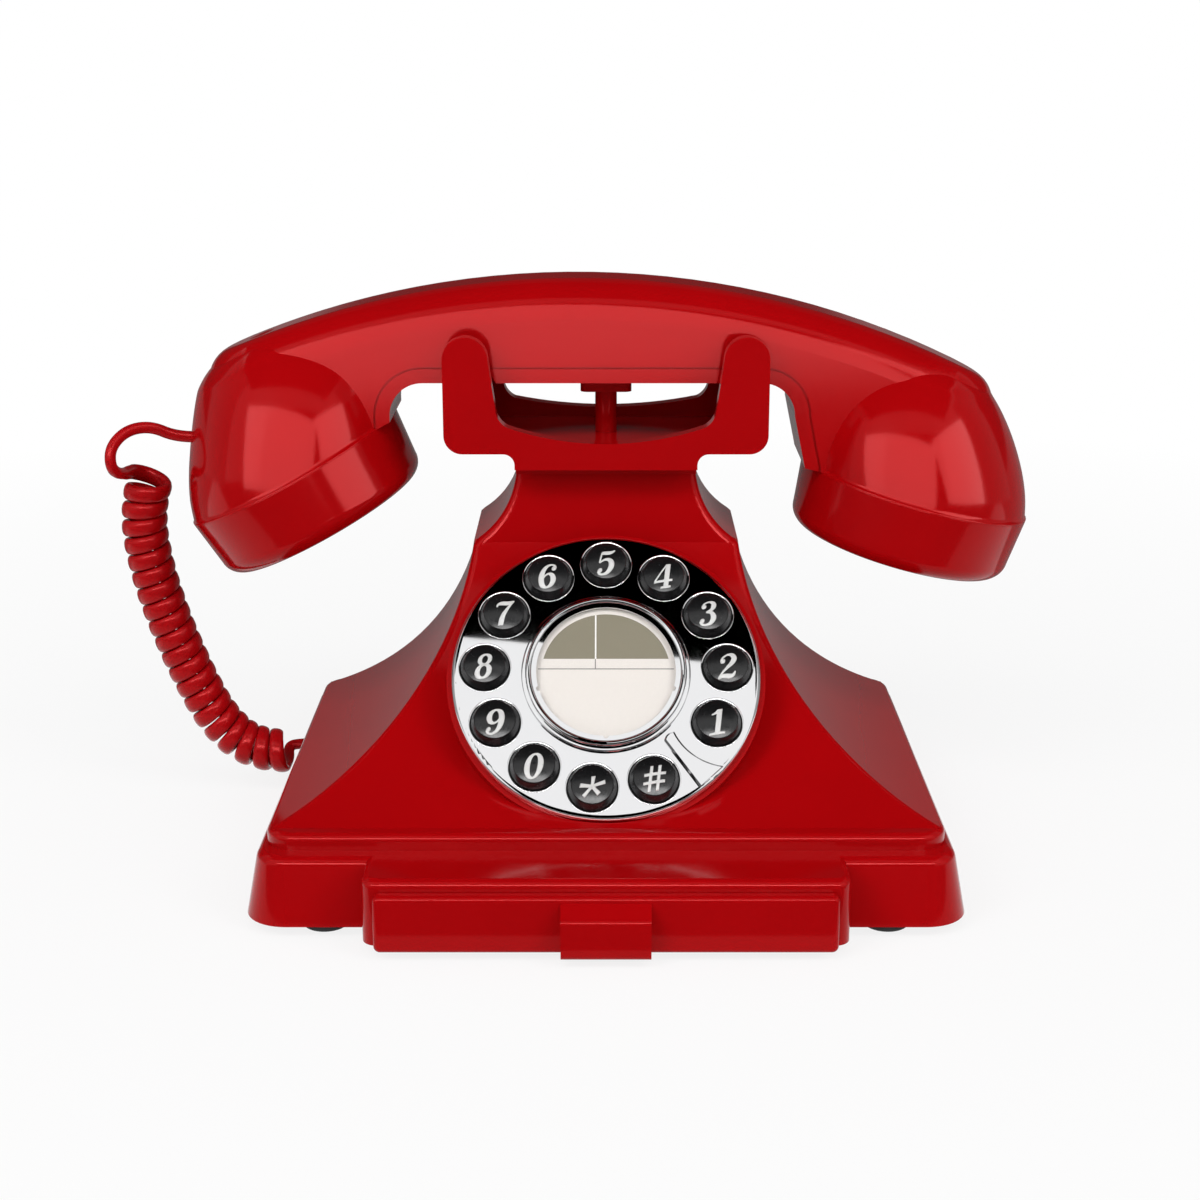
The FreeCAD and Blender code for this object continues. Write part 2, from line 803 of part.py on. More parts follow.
def make_base():
    plate = new_body("base_plate_body")
    inset = "2 * (wall + plate_room + plate_thickness * tan(plinth_draft))"
    width = "plinth_width - " + inset
    depth = "plinth_depth - " + inset
    top = PLATE_TOP
    pad(plate, "plate_pad", "XY", "foot_height", top,
        rounded(width, depth, "plinth_corner - wall", "body_y"))
    tongue = DRAWER_SIDE + " - plate_room"
    pad(plate, "plate_tongue", "XY", "foot_height", top,
        box("-(%s)" % tongue, tongue, BLOCK_FRONT + " + plate_room", PLINTH_FRONT + " + 12"))
    rails = [box("%s tray_width / 3 - rail_width / 2" % sign, "%s tray_width / 3 + rail_width / 2" % sign,
                 BLOCK_FRONT + " + 2", "cover_length / 2 - 6") for sign in ("-", "")]
    pad(plate, "plate_rails", "XY", top + " - 0.2", top + " + rail_height", *rails)
    holes = [("ring", x, y, "foot_plug_diameter / 2 + plate_room / 3") for x, y in FOOT_PLACES]
    holes += [("ring", x, y, "screw_diameter / 2 + thread_room") for x, y in POST_PLACES]
    thread = "small_screw_diameter / 2 + thread_room"
    holes += [("ring", x, y, thread) for x, y in COVER_PLACES + BALLAST_PLACES]
    pocket(plate, "plate_holes", "XY", "foot_height - 1", top + " + 1", *holes)
    piece(plate, "base_plate")

    feet = []
    for number, (x, y) in enumerate(FOOT_PLACES):
        foot = new_body("foot_%d" % number)
        revolve(foot, "foot_turned_%d" % number, [
            ("0", "0"),
            ("foot_diameter / 2 - 0.8", "0", "0.8", 1),
            ("foot_diameter / 2", "0.8"),
            ("foot_diameter / 2", "foot_height"),
            ("foot_plug_diameter / 2", "foot_height"),
            ("foot_plug_diameter / 2", "foot_height + foot_plug_height"),
            ("0", "foot_height + foot_plug_height"),
        ])
        feet.append(place(foot, x, y, "0"))
    piece(group("foot_group", feet), "feet")

    items = [place(large_screw("base_screw_%d" % n, "screw_length"), x, y, "foot_height", "1; 0; 0", "180")
             for n, (x, y) in enumerate(POST_PLACES)]
    piece(group("base_screw_group", items), "base_screws")

    ballast = new_body("ballast")
    pad(ballast, "ballast_bar", "XY", PLATE_TOP, PLATE_TOP + " + ballast_height",
        rounded("ballast_width", "ballast_depth", "2", "ballast_y"))
    pocket(ballast, "ballast_holes", "XY", PLATE_TOP + " - 1", PLATE_TOP + " + ballast_height + 1",
           *[("ring", x, y, "small_screw_diameter / 2 + thread_room") for x, y in BALLAST_PLACES])
    piece(ballast, "ballast_weight")
    level = PLATE_TOP + " + ballast_height"
    items = [place(small_screw("ballast_screw_%d" % n, "ballast_height + plate_thickness"), x, y, level)
             for n, (x, y) in enumerate(BALLAST_PLACES)]
    piece(group("ballast_screw_group", items), "ballast_screws")


def make_drawer():
    drawer = new_body("drawer_body")
    face = BLOCK_FRONT + " - drawer_gap"
    front = "(%s - drawer_front_thickness)" % face
    bottom = "(foot_height - drawer_front_drop)"
    panel = [(x, "%s + %s + drawer_front_height / 2" % (z, bottom), *rest)
             for x, z, *rest in rounded("drawer_front_width", "drawer_front_height", "drawer_front_corner")]
    pad(drawer, "drawer_panel", "XZ", front, face, panel)
    fillet(drawer, "panel_round", "drawer_front_edge",
           lambda edge: abs(edge.BoundBox.YMax - size(front)) < 0.01)
    nose = front + " - pull_reach"
    pad(drawer, "drawer_pull", "YZ", "-pull_width / 2", "pull_width / 2", [
        (front + " + 0.5", bottom),
        (nose + " + pull_edge", bottom, "pull_edge", -1),
        (nose, bottom + " + pull_edge"),
        (nose, bottom + " + pull_height - pull_edge", "pull_edge", -1),
        (nose + " + pull_edge / 2", bottom + " + pull_height"),
        (front, bottom + " + pull_height + pull_rise"),
        (front + " + 0.5", bottom + " + pull_height + pull_rise"),
    ])
    tray_end = "%s + tray_length" % face
    side = "tray_width / 2"
    pad(drawer, "drawer_tray", "XY", TRAY_BASE, TRAY_TOP, box("-" + side, side, face + " - 0.5", tray_end))
    pocket(drawer, "tray_hollow", "XY", TRAY_BASE + " + tray_wall", TRAY_TOP + " + 1",
           box("-(%s - tray_wall)" % side, side + " - tray_wall",
               face + " + tray_wall", tray_end + " - tray_wall"))
    piece(drawer, "drawer")


def make_cover():
    """The cover over the drawer, with flanges on the base plate and standoffs for the main board."""
    cover = new_body("cover_body")
    inner = DRAWER_SIDE
    outer = "(%s + cover_wall)" % DRAWER_SIDE
    flange = "(%s + cover_wall + cover_flange)" % DRAWER_SIDE
    roof = COVER_TOP + " - cover_wall"
    foot = PLATE_TOP + " + cover_wall"
    end = "cover_length / 2"
    pad(cover, "cover_channel", "XZ", "-" + end, end, [
        ("-" + flange, PLATE_TOP),
        ("-" + inner, PLATE_TOP),
        ("-" + inner, roof),
        (inner, roof),
        (inner, PLATE_TOP),
        (flange, PLATE_TOP),
        (flange, foot),
        (outer, foot),
        (outer, COVER_TOP),
        ("-" + outer, COVER_TOP),
        ("-" + outer, foot),
        ("-" + flange, foot),
    ])
    pad(cover, "cover_end", "XZ", end + " - cover_wall", end,
        box("-" + outer, outer, PLATE_TOP + " + rail_height + tray_lift", COVER_TOP))
    pad(cover, "cover_standoffs", "XY", COVER_TOP + " - 0.5", BOARD_BASE,
        *[("ring", x, y, "standoff_diameter / 2") for x, y in BOARD_PLACES])
    hole = "small_screw_diameter / 2 + thread_room"
    pocket(cover, "cover_holes", "XY", PLATE_TOP + " - 1", foot + " + 1",
           *[("ring", x, y, hole) for x, y in COVER_PLACES])
    pocket(cover, "standoff_holes", "XY", COVER_TOP, BOARD_BASE + " + 1",
           *[("ring", x, y, hole) for x, y in BOARD_PLACES])
    piece(cover, "drawer_cover")
    items = [place(small_screw("cover_screw_%d" % n, "cover_wall + plate_thickness"), x, y, foot)
             for n, (x, y) in enumerate(COVER_PLACES)]
    piece(group("cover_screw_group", items), "cover_screws")

    board = new_body("board_body")
    pad(board, "board_pad", "XY", BOARD_BASE, BOARD_BASE + " + board_thickness",
        rounded("board_width", "board_depth", "2", "board_y"))
    pocket(board, "board_holes", "XY", BOARD_BASE + " - 1", BOARD_BASE + " + board_thickness + 1",
           *[("ring", x, y, hole) for x, y in BOARD_PLACES])
    piece(board, "main_board")
    level = BOARD_BASE + " + board_thickness"
    items = [place(small_screw("board_screw_%d" % n, "standoff_height + board_thickness - 1"), x, y, level)
             for n, (x, y) in enumerate(BOARD_PLACES)]
    piece(group("board_screw_group", items), "board_screws")

    sounder = new_body("sounder_body")
    rim = "sounder_diameter / 2"
    revolve(sounder, "sounder_turned", [
        ("0", "0"),
        (rim, "0"),
        (rim, "sounder_height - sounder_edge", "sounder_edge", 1),
        (rim + " - sounder_edge", "sounder_height"),
        ("sounder_diameter / 12", "sounder_height"),
        ("sounder_diameter / 12", "sounder_height * 2 / 3"),
        ("0", "sounder_height * 2 / 3"),
    ])
    piece(place(sounder, "sounder_x", "board_y", level), "ringer_sounder")


def make_sockets():
    inner_side = "(plinth_width / 2 - wall - %s)" % PLINTH_IN
    socket = new_body("handset_socket")
    half = "handset_socket_width / 2"
    pad(socket, "handset_socket_block", "XY", PLATE_TOP, PLATE_TOP + " + socket_height",
        box("-" + inner_side, "-%s + handset_socket_length" % inner_side,
            "handset_socket_y - " + half, "handset_socket_y + " + half))
    bore = box("handset_socket_y - handset_bore_width / 2", "handset_socket_y + handset_bore_width / 2",
               "handset_socket_z - handset_bore_height / 2", "handset_socket_z + handset_bore_height / 2")
    pocket(socket, "handset_socket_bore", "YZ", "-%s - 1" % inner_side,
           "-%s + handset_bore_depth" % inner_side, bore)
    piece(socket, "handset_jack")

    rear = "(%s - wall - %s)" % (PLINTH_REAR, PLINTH_IN)
    jack = new_body("line_socket")
    pad(jack, "line_socket_block", "XY", PLATE_TOP, PLATE_TOP + " + socket_height",
        box("line_socket_x - line_socket_width / 2", "line_socket_x + line_socket_width / 2",
            rear + " - line_socket_length", rear))
    low = "handset_socket_z - line_bore_height / 2"
    key = "line_bore_width / 5"
    pocket(jack, "line_socket_bore", "XZ", rear + " - line_bore_depth", rear + " + 1", [
        ("line_socket_x - line_bore_width / 2", low),
        ("line_socket_x - " + key, low),
        ("line_socket_x - " + key, low + " - 0.8"),
        ("line_socket_x + " + key, low + " - 0.8"),
        ("line_socket_x + " + key, low),
        ("line_socket_x + line_bore_width / 2", low),
        ("line_socket_x + line_bore_width / 2", low + " + line_bore_height"),
        ("line_socket_x - line_bore_width / 2", low + " + line_bore_height"),
    ])
    piece(jack, "line_jack")


# Dial

def key_angle(number):
    return "(key_first + %d * key_pitch)" % number


def polar(radius, angle):
    return "(%s) * cos(%s)" % (radius, angle), "(%s) * sin(%s)" % (radius, angle)


KEY_PLACES = [polar("key_circle", key_angle(number)) for number in range(12)]
KEY_NAMES = ["1", "2", "3", "4", "5", "6", "7", "8", "9", "0", "star", "hash"]
KEYPAD_POST_PLACES = [polar("keypad_post_circle", str(angle)) for angle in (45, 135, 225, 315)]
NOTCH_ANGLES = (-16, -90, -164)


def make_dial():
    plate = new_body("dial_body")
    rim = "dial_diameter / 2"
    outer = "(bore_diameter / 2 - spigot_room)"
    revolve(plate, "dial_turned", [
        ("0", "-dial_thickness"),
        (outer + " - spigot_wall", "-dial_thickness"),
        (outer + " - spigot_wall", "-dial_thickness - spigot_length"),
        (outer, "-dial_thickness - spigot_length"),
        (outer, "-dial_thickness"),
        (rim, "-dial_thickness"),
        (rim, "-dial_edge", "dial_edge", 1),
        (rim + " - dial_edge", "0"),
        ("0", "0"),
    ])
    gap_angle = "(key_first - (360 - 11 * key_pitch) / 2)"
    stop = []
    for radius, across, *bend in (("stop_inner", "-stop_tip_left"), ("stop_outer", "-stop_left"),
                                  ("stop_outer", "stop_right", "stop_hollow", -1),
                                  ("stop_inner", "stop_tip_right", "stop_tip_round", 1)):
        x = "(%s) * cos(%s) - (%s) * sin(%s)" % (radius, gap_angle, across, gap_angle)
        y = "(%s) * sin(%s) + (%s) * cos(%s)" % (radius, gap_angle, across, gap_angle)
        stop.append((x, y, *bend))
    pad(plate, "finger_stop", "XY", "-dial_thickness / 4", "stop_height", stop)
    chamfer(plate, "stop_bevels", "stop_bevel", lambda edge: flat_at(edge, size("stop_height")) and
            Vector(edge.CenterOfMass.x, edge.CenterOfMass.y, 0).Length < size("stop_outer - stop_bevel"))
    pad(plate, "dial_posts", "XY", BOARD_LEVEL, "-dial_thickness * 3 / 4",
        *[("ring", x, y, "keypad_post_diameter / 2") for x, y in KEYPAD_POST_PLACES])
    pocket(plate, "dial_key_holes", "XY", "-dial_thickness - 0.5", "1",
           *[("ring", x, y, "key_diameter / 2 + key_room") for x, y in KEY_PLACES])
    hole_radius = size("key_diameter / 2 + key_room")
    chamfer(plate, "key_hole_bevels", "key_hole_bevel",
            lambda edge: flat_at(edge, 0) and abs(getattr(edge.Curve, "Radius", 0) - hole_radius) < 0.01)
    pocket(plate, "dial_scallops", "XY", "-dial_thickness - spigot_length - 1", "-dial_thickness",
           *[("ring", x, y, "key_flange / 2 + spigot_scallop") for x, y in KEY_PLACES])
    pocket(plate, "dial_post_bores", "XY", BOARD_LEVEL + " - 1", BOARD_LEVEL + " + keypad_post_bore",
           *[("ring", x, y, "small_screw_diameter / 2 + thread_room") for x, y in KEYPAD_POST_PLACES])
    piece(dial_place(plate), "dial_plate")

    bezel = new_body("bezel_body")
    rim = "bezel_diameter / 2"
    seat = "card_diameter / 2 + key_room"
    roof = "card_thickness + window_thickness + key_seat"
    crown = "(bezel_diameter / 2 - bezel_foot)"
    revolve(bezel, "bezel_turned", [
        (seat, "0"),
        (rim, "0"),
        (rim, "bezel_foot_height - bezel_foot_round", "bezel_foot_round", 1),
        (rim + " - bezel_foot_round", "bezel_foot_height"),
        (crown, "bezel_foot_height"),
        (crown, "bezel_height - bezel_crown", "bezel_crown", 1),
        (crown + " - bezel_crown", "bezel_height", "bezel_crown", 1),
        (crown + " - 2 * bezel_crown", "bezel_height - bezel_crown"),
        (crown + " - 2 * bezel_crown", "bezel_lip_height"),
        ("%s - bezel_lip" % seat, "bezel_lip_height"),
        ("%s - bezel_lip" % seat, roof),
        (seat, roof),
    ])
    notches = [polar(seat + " - bezel_lip", str(angle)) for angle in NOTCH_ANGLES]
    pocket(bezel, "bezel_notches", "XY", roof, "bezel_height",
           *[("ring", x, y, "bezel_notch") for x, y in notches])
    piece(dial_place(bezel), "label_bezel")
    card = dial_place(cylinder("card_disc", "card_diameter / 2", "card_thickness"))
    piece(card, "label_card")
    window = cylinder("window_disc", "card_diameter / 2", "window_thickness")
    dial_place(window, out="card_thickness")
    piece(window, "label_window")


def make_keys():
    cap = "key_diameter / 2"
    flange_top = "(-dial_thickness - key_seat)"
    flange_low = "(-dial_thickness - key_seat - key_flange_thickness)"
    shoulder = "key_shoulder / 2"
    shoulder_level = "(key_rise + key_wall)"
    crown_radius = "((key_shoulder / 2)^2 + key_crown^2) / (2 * key_crown)"
    for name, (across, up) in zip(KEY_NAMES, KEY_PLACES):
        key = new_body("key_body_" + name)
        revolve(key, "key_turned_" + name, [
            ("0", flange_low + " - key_stem_length"),
            ("key_stem / 2", flange_low + " - key_stem_length"),
            ("key_stem / 2", flange_low),
            ("key_flange / 2", flange_low),
            ("key_flange / 2", flange_top),
            (cap, flange_top),
            (cap, "key_rise"),
            (shoulder, shoulder_level, crown_radius, 1),
            ("0", shoulder_level + " + key_crown"),
        ])
        fillet(key, "key_round_" + name, "key_shoulder_round",
               lambda edge: flat_at(edge, size(shoulder_level)))
        piece(dial_place(key, across, up), "key_" + name)


def make_keypad():
    mat = new_body("mat_body")
    flange_low = "(-dial_thickness - key_seat - key_flange_thickness)"
    post_hole = "keypad_post_diameter / 2 + key_room"
    pad(mat, "mat_sheet", "XY", BOARD_LEVEL, BOARD_LEVEL + " + mat_thickness",
        ("ring", "0", "0", "mat_diameter / 2"), *[("ring", x, y, post_hole) for x, y in KEYPAD_POST_PLACES])
    collar_top = flange_low + " - key_travel - collar_gap"
    pad(mat, "mat_collars", "XY", BOARD_LEVEL + " + mat_thickness / 2", collar_top,
        *[("ring", x, y, "collar_diameter / 2") for x, y in KEY_PLACES])
    pocket(mat, "collar_bores", "XY", BOARD_LEVEL + " + mat_thickness", collar_top + " + 1",
           *[("ring", x, y, "collar_bore / 2") for x, y in KEY_PLACES])
    piece(dial_place(mat), "keypad_mat")

    board = new_body("keypad_board_body")
    hole = "small_screw_diameter / 2 + thread_room"
    pad(board, "keypad_disc", "XY", BOARD_LEVEL + " - board_thickness", BOARD_LEVEL,
        ("ring", "0", "0", "mat_diameter / 2"), *[("ring", x, y, hole) for x, y in KEYPAD_POST_PLACES])
    piece(dial_place(board), "keypad_board")
    items = []
    for number, (across, up) in enumerate(KEYPAD_POST_PLACES):
        item = small_screw("keypad_screw_%d" % number, "board_thickness + keypad_screw_grip")
        under = BOARD_LEVEL + " - board_thickness"
        y = "dial_y + (%s) * cos(dial_tilt) - (%s) * sin(dial_tilt)" % (up, under)
        z = "dial_z + (%s) * sin(dial_tilt) + (%s) * cos(dial_tilt)" % (up, under)
        items.append(place(item, across, y, z, "1; 0; 0", "dial_tilt + 180"))
    piece(group("keypad_screw_group", items), "keypad_screws")


# Cradle and hook

def fork_outline(sweep):
    """One fork of the cradle, seen from the front, with the radius of its hollow top edge."""
    edge = "cradle_width / 2"
    r = "fork_corner"
    top = "(%s + prong_height)" % FORK_BASE
    round_off = "prong_width / 2"
    inner = "(cradle_width / 2 - prong_width)"
    foot = "(cradle_width / 2 - prong_width - prong_taper)"
    rim = "(%s + saucer_rim)" % FORK_BASE
    step = rim + " + saucer_corner_rise"
    right = [
        (edge + " - " + r, FORK_BASE, r, 1),
        (edge, FORK_BASE + " + " + r),
        (edge, top + " - " + round_off, round_off, 1),
        (edge + " - " + round_off, top, round_off, 1),
        (inner, top + " - " + round_off),
        (foot, step, "saucer_corner", -1),
        ("saucer_width / 2", rim, sweep, -1),
    ]
    left = [
        ("-saucer_width / 2", rim, "saucer_corner", -1),
        ("-" + foot, step),
        ("-" + inner, top + " - " + round_off, round_off, 1),
        ("-%s + %s" % (edge, round_off), top, round_off, 1),
        ("-" + edge, top + " - " + round_off),
        ("-" + edge, FORK_BASE + " + " + r, r, 1),
        ("-%s + %s" % (edge, r), FORK_BASE),
    ]
    return right + left


def make_cradle():
    cradle = new_body("cradle_body")
    front = "(tower_y - cradle_depth / 2)"
    rear = "(tower_y + cradle_depth / 2)"
    pad(cradle, "front_fork", "XZ", front, front + " + cradle_plate", fork_outline("saucer_sweep"))
    pad(cradle, "rear_fork", "XZ", rear + " - cradle_plate", rear, fork_outline("rear_sweep"))
    half = "(cradle_width / 2 - fork_corner)"
    pad(cradle, "cradle_floor", "XZ", front + " + 1", rear + " - 1",
        box("-" + half, half, FORK_BASE, FORK_BASE + " + cradle_floor"))
    outer = "(cradle_width / 2 - rest_inset)"
    inner = "(cradle_width / 2 - rest_inset - rest_width)"
    rest_top = "handset_underside - rest_gap"
    pad(cradle, "handset_rests", "XZ", front + " + 1", rear + " - 1",
        box("-" + outer, "-" + inner, FORK_BASE + " + fork_corner / 2", rest_top),
        box(inner, outer, FORK_BASE + " + fork_corner / 2", rest_top))
    waist = "neck_width / 2"
    flare = "%s - waist_flare" % FORK_BASE
    for name, low, near, far in (
            ("cradle_saddle", NECK_TOP, "tower_y - neck_depth / 2", "tower_y + neck_depth / 2"),
            ("cradle_apron", FORK_BASE + " - apron_height", front, rear)):
        pad(cradle, name, "XZ", near, far, [
            ("-" + waist, low),
            (waist, low),
            (waist, flare, "waist_flare", -1),
            (waist + " + waist_flare", FORK_BASE),
            (waist + " + waist_flare", FORK_BASE + " + cradle_floor / 2"),
            ("-%s - waist_flare" % waist, FORK_BASE + " + cradle_floor / 2"),
            ("-%s - waist_flare" % waist, FORK_BASE, "waist_flare", -1),
            ("-" + waist, flare),
        ])
    pocket(cradle, "plunger_guide", "XY", NECK_TOP + " - 1", FORK_BASE + " + cradle_floor + 1",
           ("ring", "0", "tower_y", "plunger_diameter / 2 + plunger_room"))
    pocket(cradle, "cradle_threads", "XY", NECK_TOP + " - 1", FORK_BASE + " - 1",
           *[("ring", x, y, "screw_diameter / 2 + thread_room") for x, y in CRADLE_SCREW_PLACES])
    piece(cradle, "cradle")
    level = NECK_TOP + " - wall"
    reach = "wall + cradle_waist - 2"
    items = [place(large_screw("cradle_screw_%d" % n, reach), x, y, level, "1; 0; 0", "180")
             for n, (x, y) in enumerate(CRADLE_SCREW_PLACES)]
    piece(group("cradle_screw_group", items), "cradle_screws")


def coil_spring(name, centre, low, high):
    """A compression spring on an upright axis, between two levels."""
    radius = size("(spring_diameter - spring_wire) / 2")
    wire = size("spring_wire")
    turns = size("spring_turns")
    rise = (high - low - wire) / turns
    stations = []
    for step in range(int(turns * 4) + 1):
        angle = math.pi / 2 * step
        out = Vector(math.cos(angle), math.sin(angle), 0)
        along = Vector(-math.sin(angle), math.cos(angle), rise / (2 * math.pi * radius))
        level = Vector(0, 0, low + wire / 2 + rise * step / 4)
        stations.append((centre + out * radius + level, along.normalize()))
    item = doc.addObject("Part::Feature", name)
    item.Shape = tube(path_through(stations), wire)
    return item


def make_hook():
    travel_room = "(%s - wall - plunger_travel - plunger_stop)" % NECK_TOP
    top = "(handset_underside - plunger_gap)"
    plunger = new_body("plunger_body")
    stem = "plunger_diameter / 2"
    flange_low = travel_room + " - plunger_flange_height"
    revolve(plunger, "plunger_turned", [
        ("0", BRACKET_TOP + " - bracket_thickness + tip_stand"),
        ("plunger_tip / 2", BRACKET_TOP + " - bracket_thickness + tip_stand"),
        ("plunger_tip / 2", flange_low),
        ("plunger_flange / 2", flange_low),
        ("plunger_flange / 2", travel_room),
        (stem, travel_room),
        (stem, top + " - plunger_head_height / 2"),
        ("0", top + " - plunger_head_height / 2"),
    ])
    pad(plunger, "plunger_head", "XY", top + " - plunger_head_height", top,
        rounded("plunger_head_width", "plunger_head_depth", "2"))
    fillet(plunger, "head_round", "0.8", lambda edge: flat_at(edge, size(top)))
    piece(place(plunger, "0", "tower_y", "0"), "hook_plunger")

    bracket = new_body("bracket_body")
    low = BRACKET_TOP + " - bracket_thickness"
    pad(bracket, "bracket_pad", "XY", low, BRACKET_TOP,
        rounded("bracket_width", "bracket_depth", "3", "tower_y + bracket_post_y / 2"))
    holes = [("ring", x, y, "small_screw_diameter / 2 + thread_room") for x, y in BRACKET_PLACES]
    pocket(bracket, "bracket_holes", "XY", low + " - 1", BRACKET_TOP + " + 1",
           ("ring", "0", "tower_y", "plunger_tip / 2 + plunger_room"), *holes)
    piece(bracket, "hook_bracket")
    reach = "bracket_thickness + bracket_screw_grip"
    items = [place(small_screw("bracket_screw_%d" % n, reach), x, y, low, "1; 0; 0", "180")
             for n, (x, y) in enumerate(BRACKET_PLACES)]
    piece(group("bracket_screw_group", items), "bracket_screws")

    switch = new_body("switch_body")
    y_half = "switch_depth / 2"
    pad(switch, "switch_block", "XY", low + " - switch_height", low,
        box("-switch_width / 2", "switch_width / 2", "tower_y - " + y_half, "tower_y + " + y_half))
    pins = []
    for n in ("-1", "0", "1"):
        middle = n + " * switch_width / 3"
        pins.append(box(middle + " - pin_width / 2", middle + " + pin_width / 2",
                        "tower_y - pin_thickness / 2", "tower_y + pin_thickness / 2"))
    pad(switch, "switch_pins", "XY", low + " - switch_height - 4", low + " - switch_height + 0.5", *pins)
    piece(switch, "hook_switch")

    spring = coil_spring("spring_coil", Vector(0, size("tower_y"), 0), size(BRACKET_TOP + " + spring_seat"),
                         size(flange_low + " - spring_seat"))
    piece(spring, "plunger_spring")


# Handset

def grip_outline(rise):
    """The hollow under the grip between the two cups, carried up and outwards by a distance."""
    level = "handset_underside + (%s)" % rise
    left = "grip_left + handset_x"
    right = "grip_right + handset_x"
    arc = "(grip_round + (%s))" % rise
    corner = "handset_underside - grip_round"
    deep = "handset_underside - 3 * grip_flare_drop"
    return [
        (left + " - " + arc, deep),
        (right + " + %s + grip_flare" % arc, deep),
        (right + " + %s + grip_flare" % arc, corner + " - grip_flare_drop"),
        (right + " + " + arc, corner, arc, 1),
        (right, level),
        (left, level, arc, 1),
        (left + " - " + arc, corner),
    ]


def handle_end(name, turn, reverse):
    """One round end of the handle: half a turn of the handle's own section."""
    body = new_body(name)
    half = "handle_width / 2"
    profile = drawn(body, name, "YZ", "0", [[
        ("0", "-handle_thickness"),
        (half, "-handle_thickness"),
        (half, "-handle_crown", "handle_crown", 1),
        (half + " - handle_crown", "0"),
        ("0", "0"),
    ]])
    feature = body.newObject("PartDesign::Revolution", name + "_turned")
    feature.Profile = profile
    feature.ReferenceAxis = (profile, ["V_Axis"])
    feature.Angle = 180
    feature.Reversed = reverse
    x = "handle_arch_x + handset_x + handle_arch * sin(%s)" % turn
    z = "%s - handle_arch + handle_arch * cos(%s)" % (HANDLE_TOP, turn)
    return place(body, x, "tower_y", z, "0; 1; 0", turn)


def handle_form():
    """The whole handle: a crowned section swung along the arch, with a round end at each side."""
    arch = new_body("handle_arch_body")
    half = "handle_width / 2"
    low = "handle_arch - handle_thickness"
    profile = drawn(arch, "handle_section", "YZ", "0", [[
        ("-" + half, low),
        (half, low),
        (half, "handle_arch - handle_crown", "handle_crown", 1),
        (half + " - handle_crown", "handle_arch"),
        ("-%s + handle_crown" % half, "handle_arch", "handle_crown", 1),
        ("-" + half, "handle_arch - handle_crown"),
    ]])
    swing = arch.newObject("PartDesign::Revolution", "handle_swing")
    swing.Profile = profile
    swing.ReferenceAxis = (profile, ["H_Axis"])
    swing.setExpression("Angle", tied("handle_left_turn + handle_right_turn"))
    swing.Midplane = True
    place(arch, "handle_arch_x + handset_x", "tower_y", HANDLE_TOP + " - handle_arch", "0; 1; 0",
          "(handle_right_turn - handle_left_turn) / 2")
    left = handle_end("handle_left_end", "(-handle_left_turn)", False)
    right = handle_end("handle_right_end", "(handle_right_turn)", True)
    whole = fuse("handle_whole", arch, left, right)
    grip = new_body("grip_hollow")
    pad(grip, "grip_hollow_pad", "XZ", "tower_y - handle_width", "tower_y + handle_width", grip_outline("0"))
    below_ear = ear_place(cylinder("below_ear", "cup_diameter", "cup_diameter"), "-cup_diameter")
    below_mouth = mouth_place(cylinder("below_mouth", "cup_diameter", "cup_diameter"), "-cup_diameter")
    return cut("handle", whole, grip, below_ear, below_mouth)


def dome(name, side):
    """The bell over one cup, leaning towards the middle of the handset."""
    body = new_body(name)
    sections = []
    for height, diameter in (("0", "dome_diameter"), ("dome_low", "dome_low_diameter"),
                             ("dome_middle", "dome_middle_diameter"), ("dome_top", "dome_top_diameter")):
        lean = "%s * dome_lean * (%s)" % (side, height)
        sections.append((height, ("ring", lean, "0", "(%s) / 2" % diameter)))
    loft(body, name + "_loft", sections, False)
    return body


def cup(name, holes):
    """A screwed cap with a spigot that goes up into its bell, and sound holes in its face."""
    body = new_body(name)
    rim = "cup_diameter / 2"
    low = "(-cup_height)"
    bore = "cup_bore / 2"
    revolve(body, name + "_turned", [
        ("0", low),
        (rim + " - cup_taper - cup_edge", low, "cup_edge", 1),
        (rim + " - cup_taper", low + " + cup_edge"),
        (rim, "-cup_lip", "cup_lip", 1),
        (rim + " - cup_lip", "0"),
        (bore + " + cup_spigot_wall", "0"),
        (bore + " + cup_spigot_wall", "cup_spigot"),
        (bore, "cup_spigot"),
        (bore, low + " + cup_wall"),
        ("0", low + " + cup_wall"),
    ])
    rings = [("ring", "0", "0", "cup_hole / 2")]
    for number in range(holes):
        x, y = polar("cup_hole_circle / 2", "%d * 360 / %d" % (number, holes))
        rings.append(("ring", x, y, "cup_hole / 2"))
    pocket(body, name + "_holes", "XY", low + " - 1", low + " + cup_wall + 1", *rings)
    return body


def capsule(name, diameter, height):
    """A round transducer that lies on the inside of a cap's face."""
    body = new_body(name)
    rim = "(%s) / 2" % diameter
    low = "(-cup_height + cup_wall)"
    revolve(body, name + "_turned", [
        ("0", low),
        (rim + " - 1", low),
        (rim, low + " + 1"),
        (rim, "%s + (%s) * 0.6" % (low, height)),
        (rim + " * 0.7", "%s + (%s) * 0.6" % (low, height)),
        (rim + " * 0.6", "%s + (%s)" % (low, height)),
        ("0", "%s + (%s)" % (low, height)),
    ])
    return body


GLAND_Z = "(%s - gland_drop)" % HANDLE_TOP
GLAND_X = "(gland_x + handset_x)"
HANDSET_SCREW_PLACES = [(sign + "handset_screw_x + handset_x", "tower_y") for sign in ("-", "")]


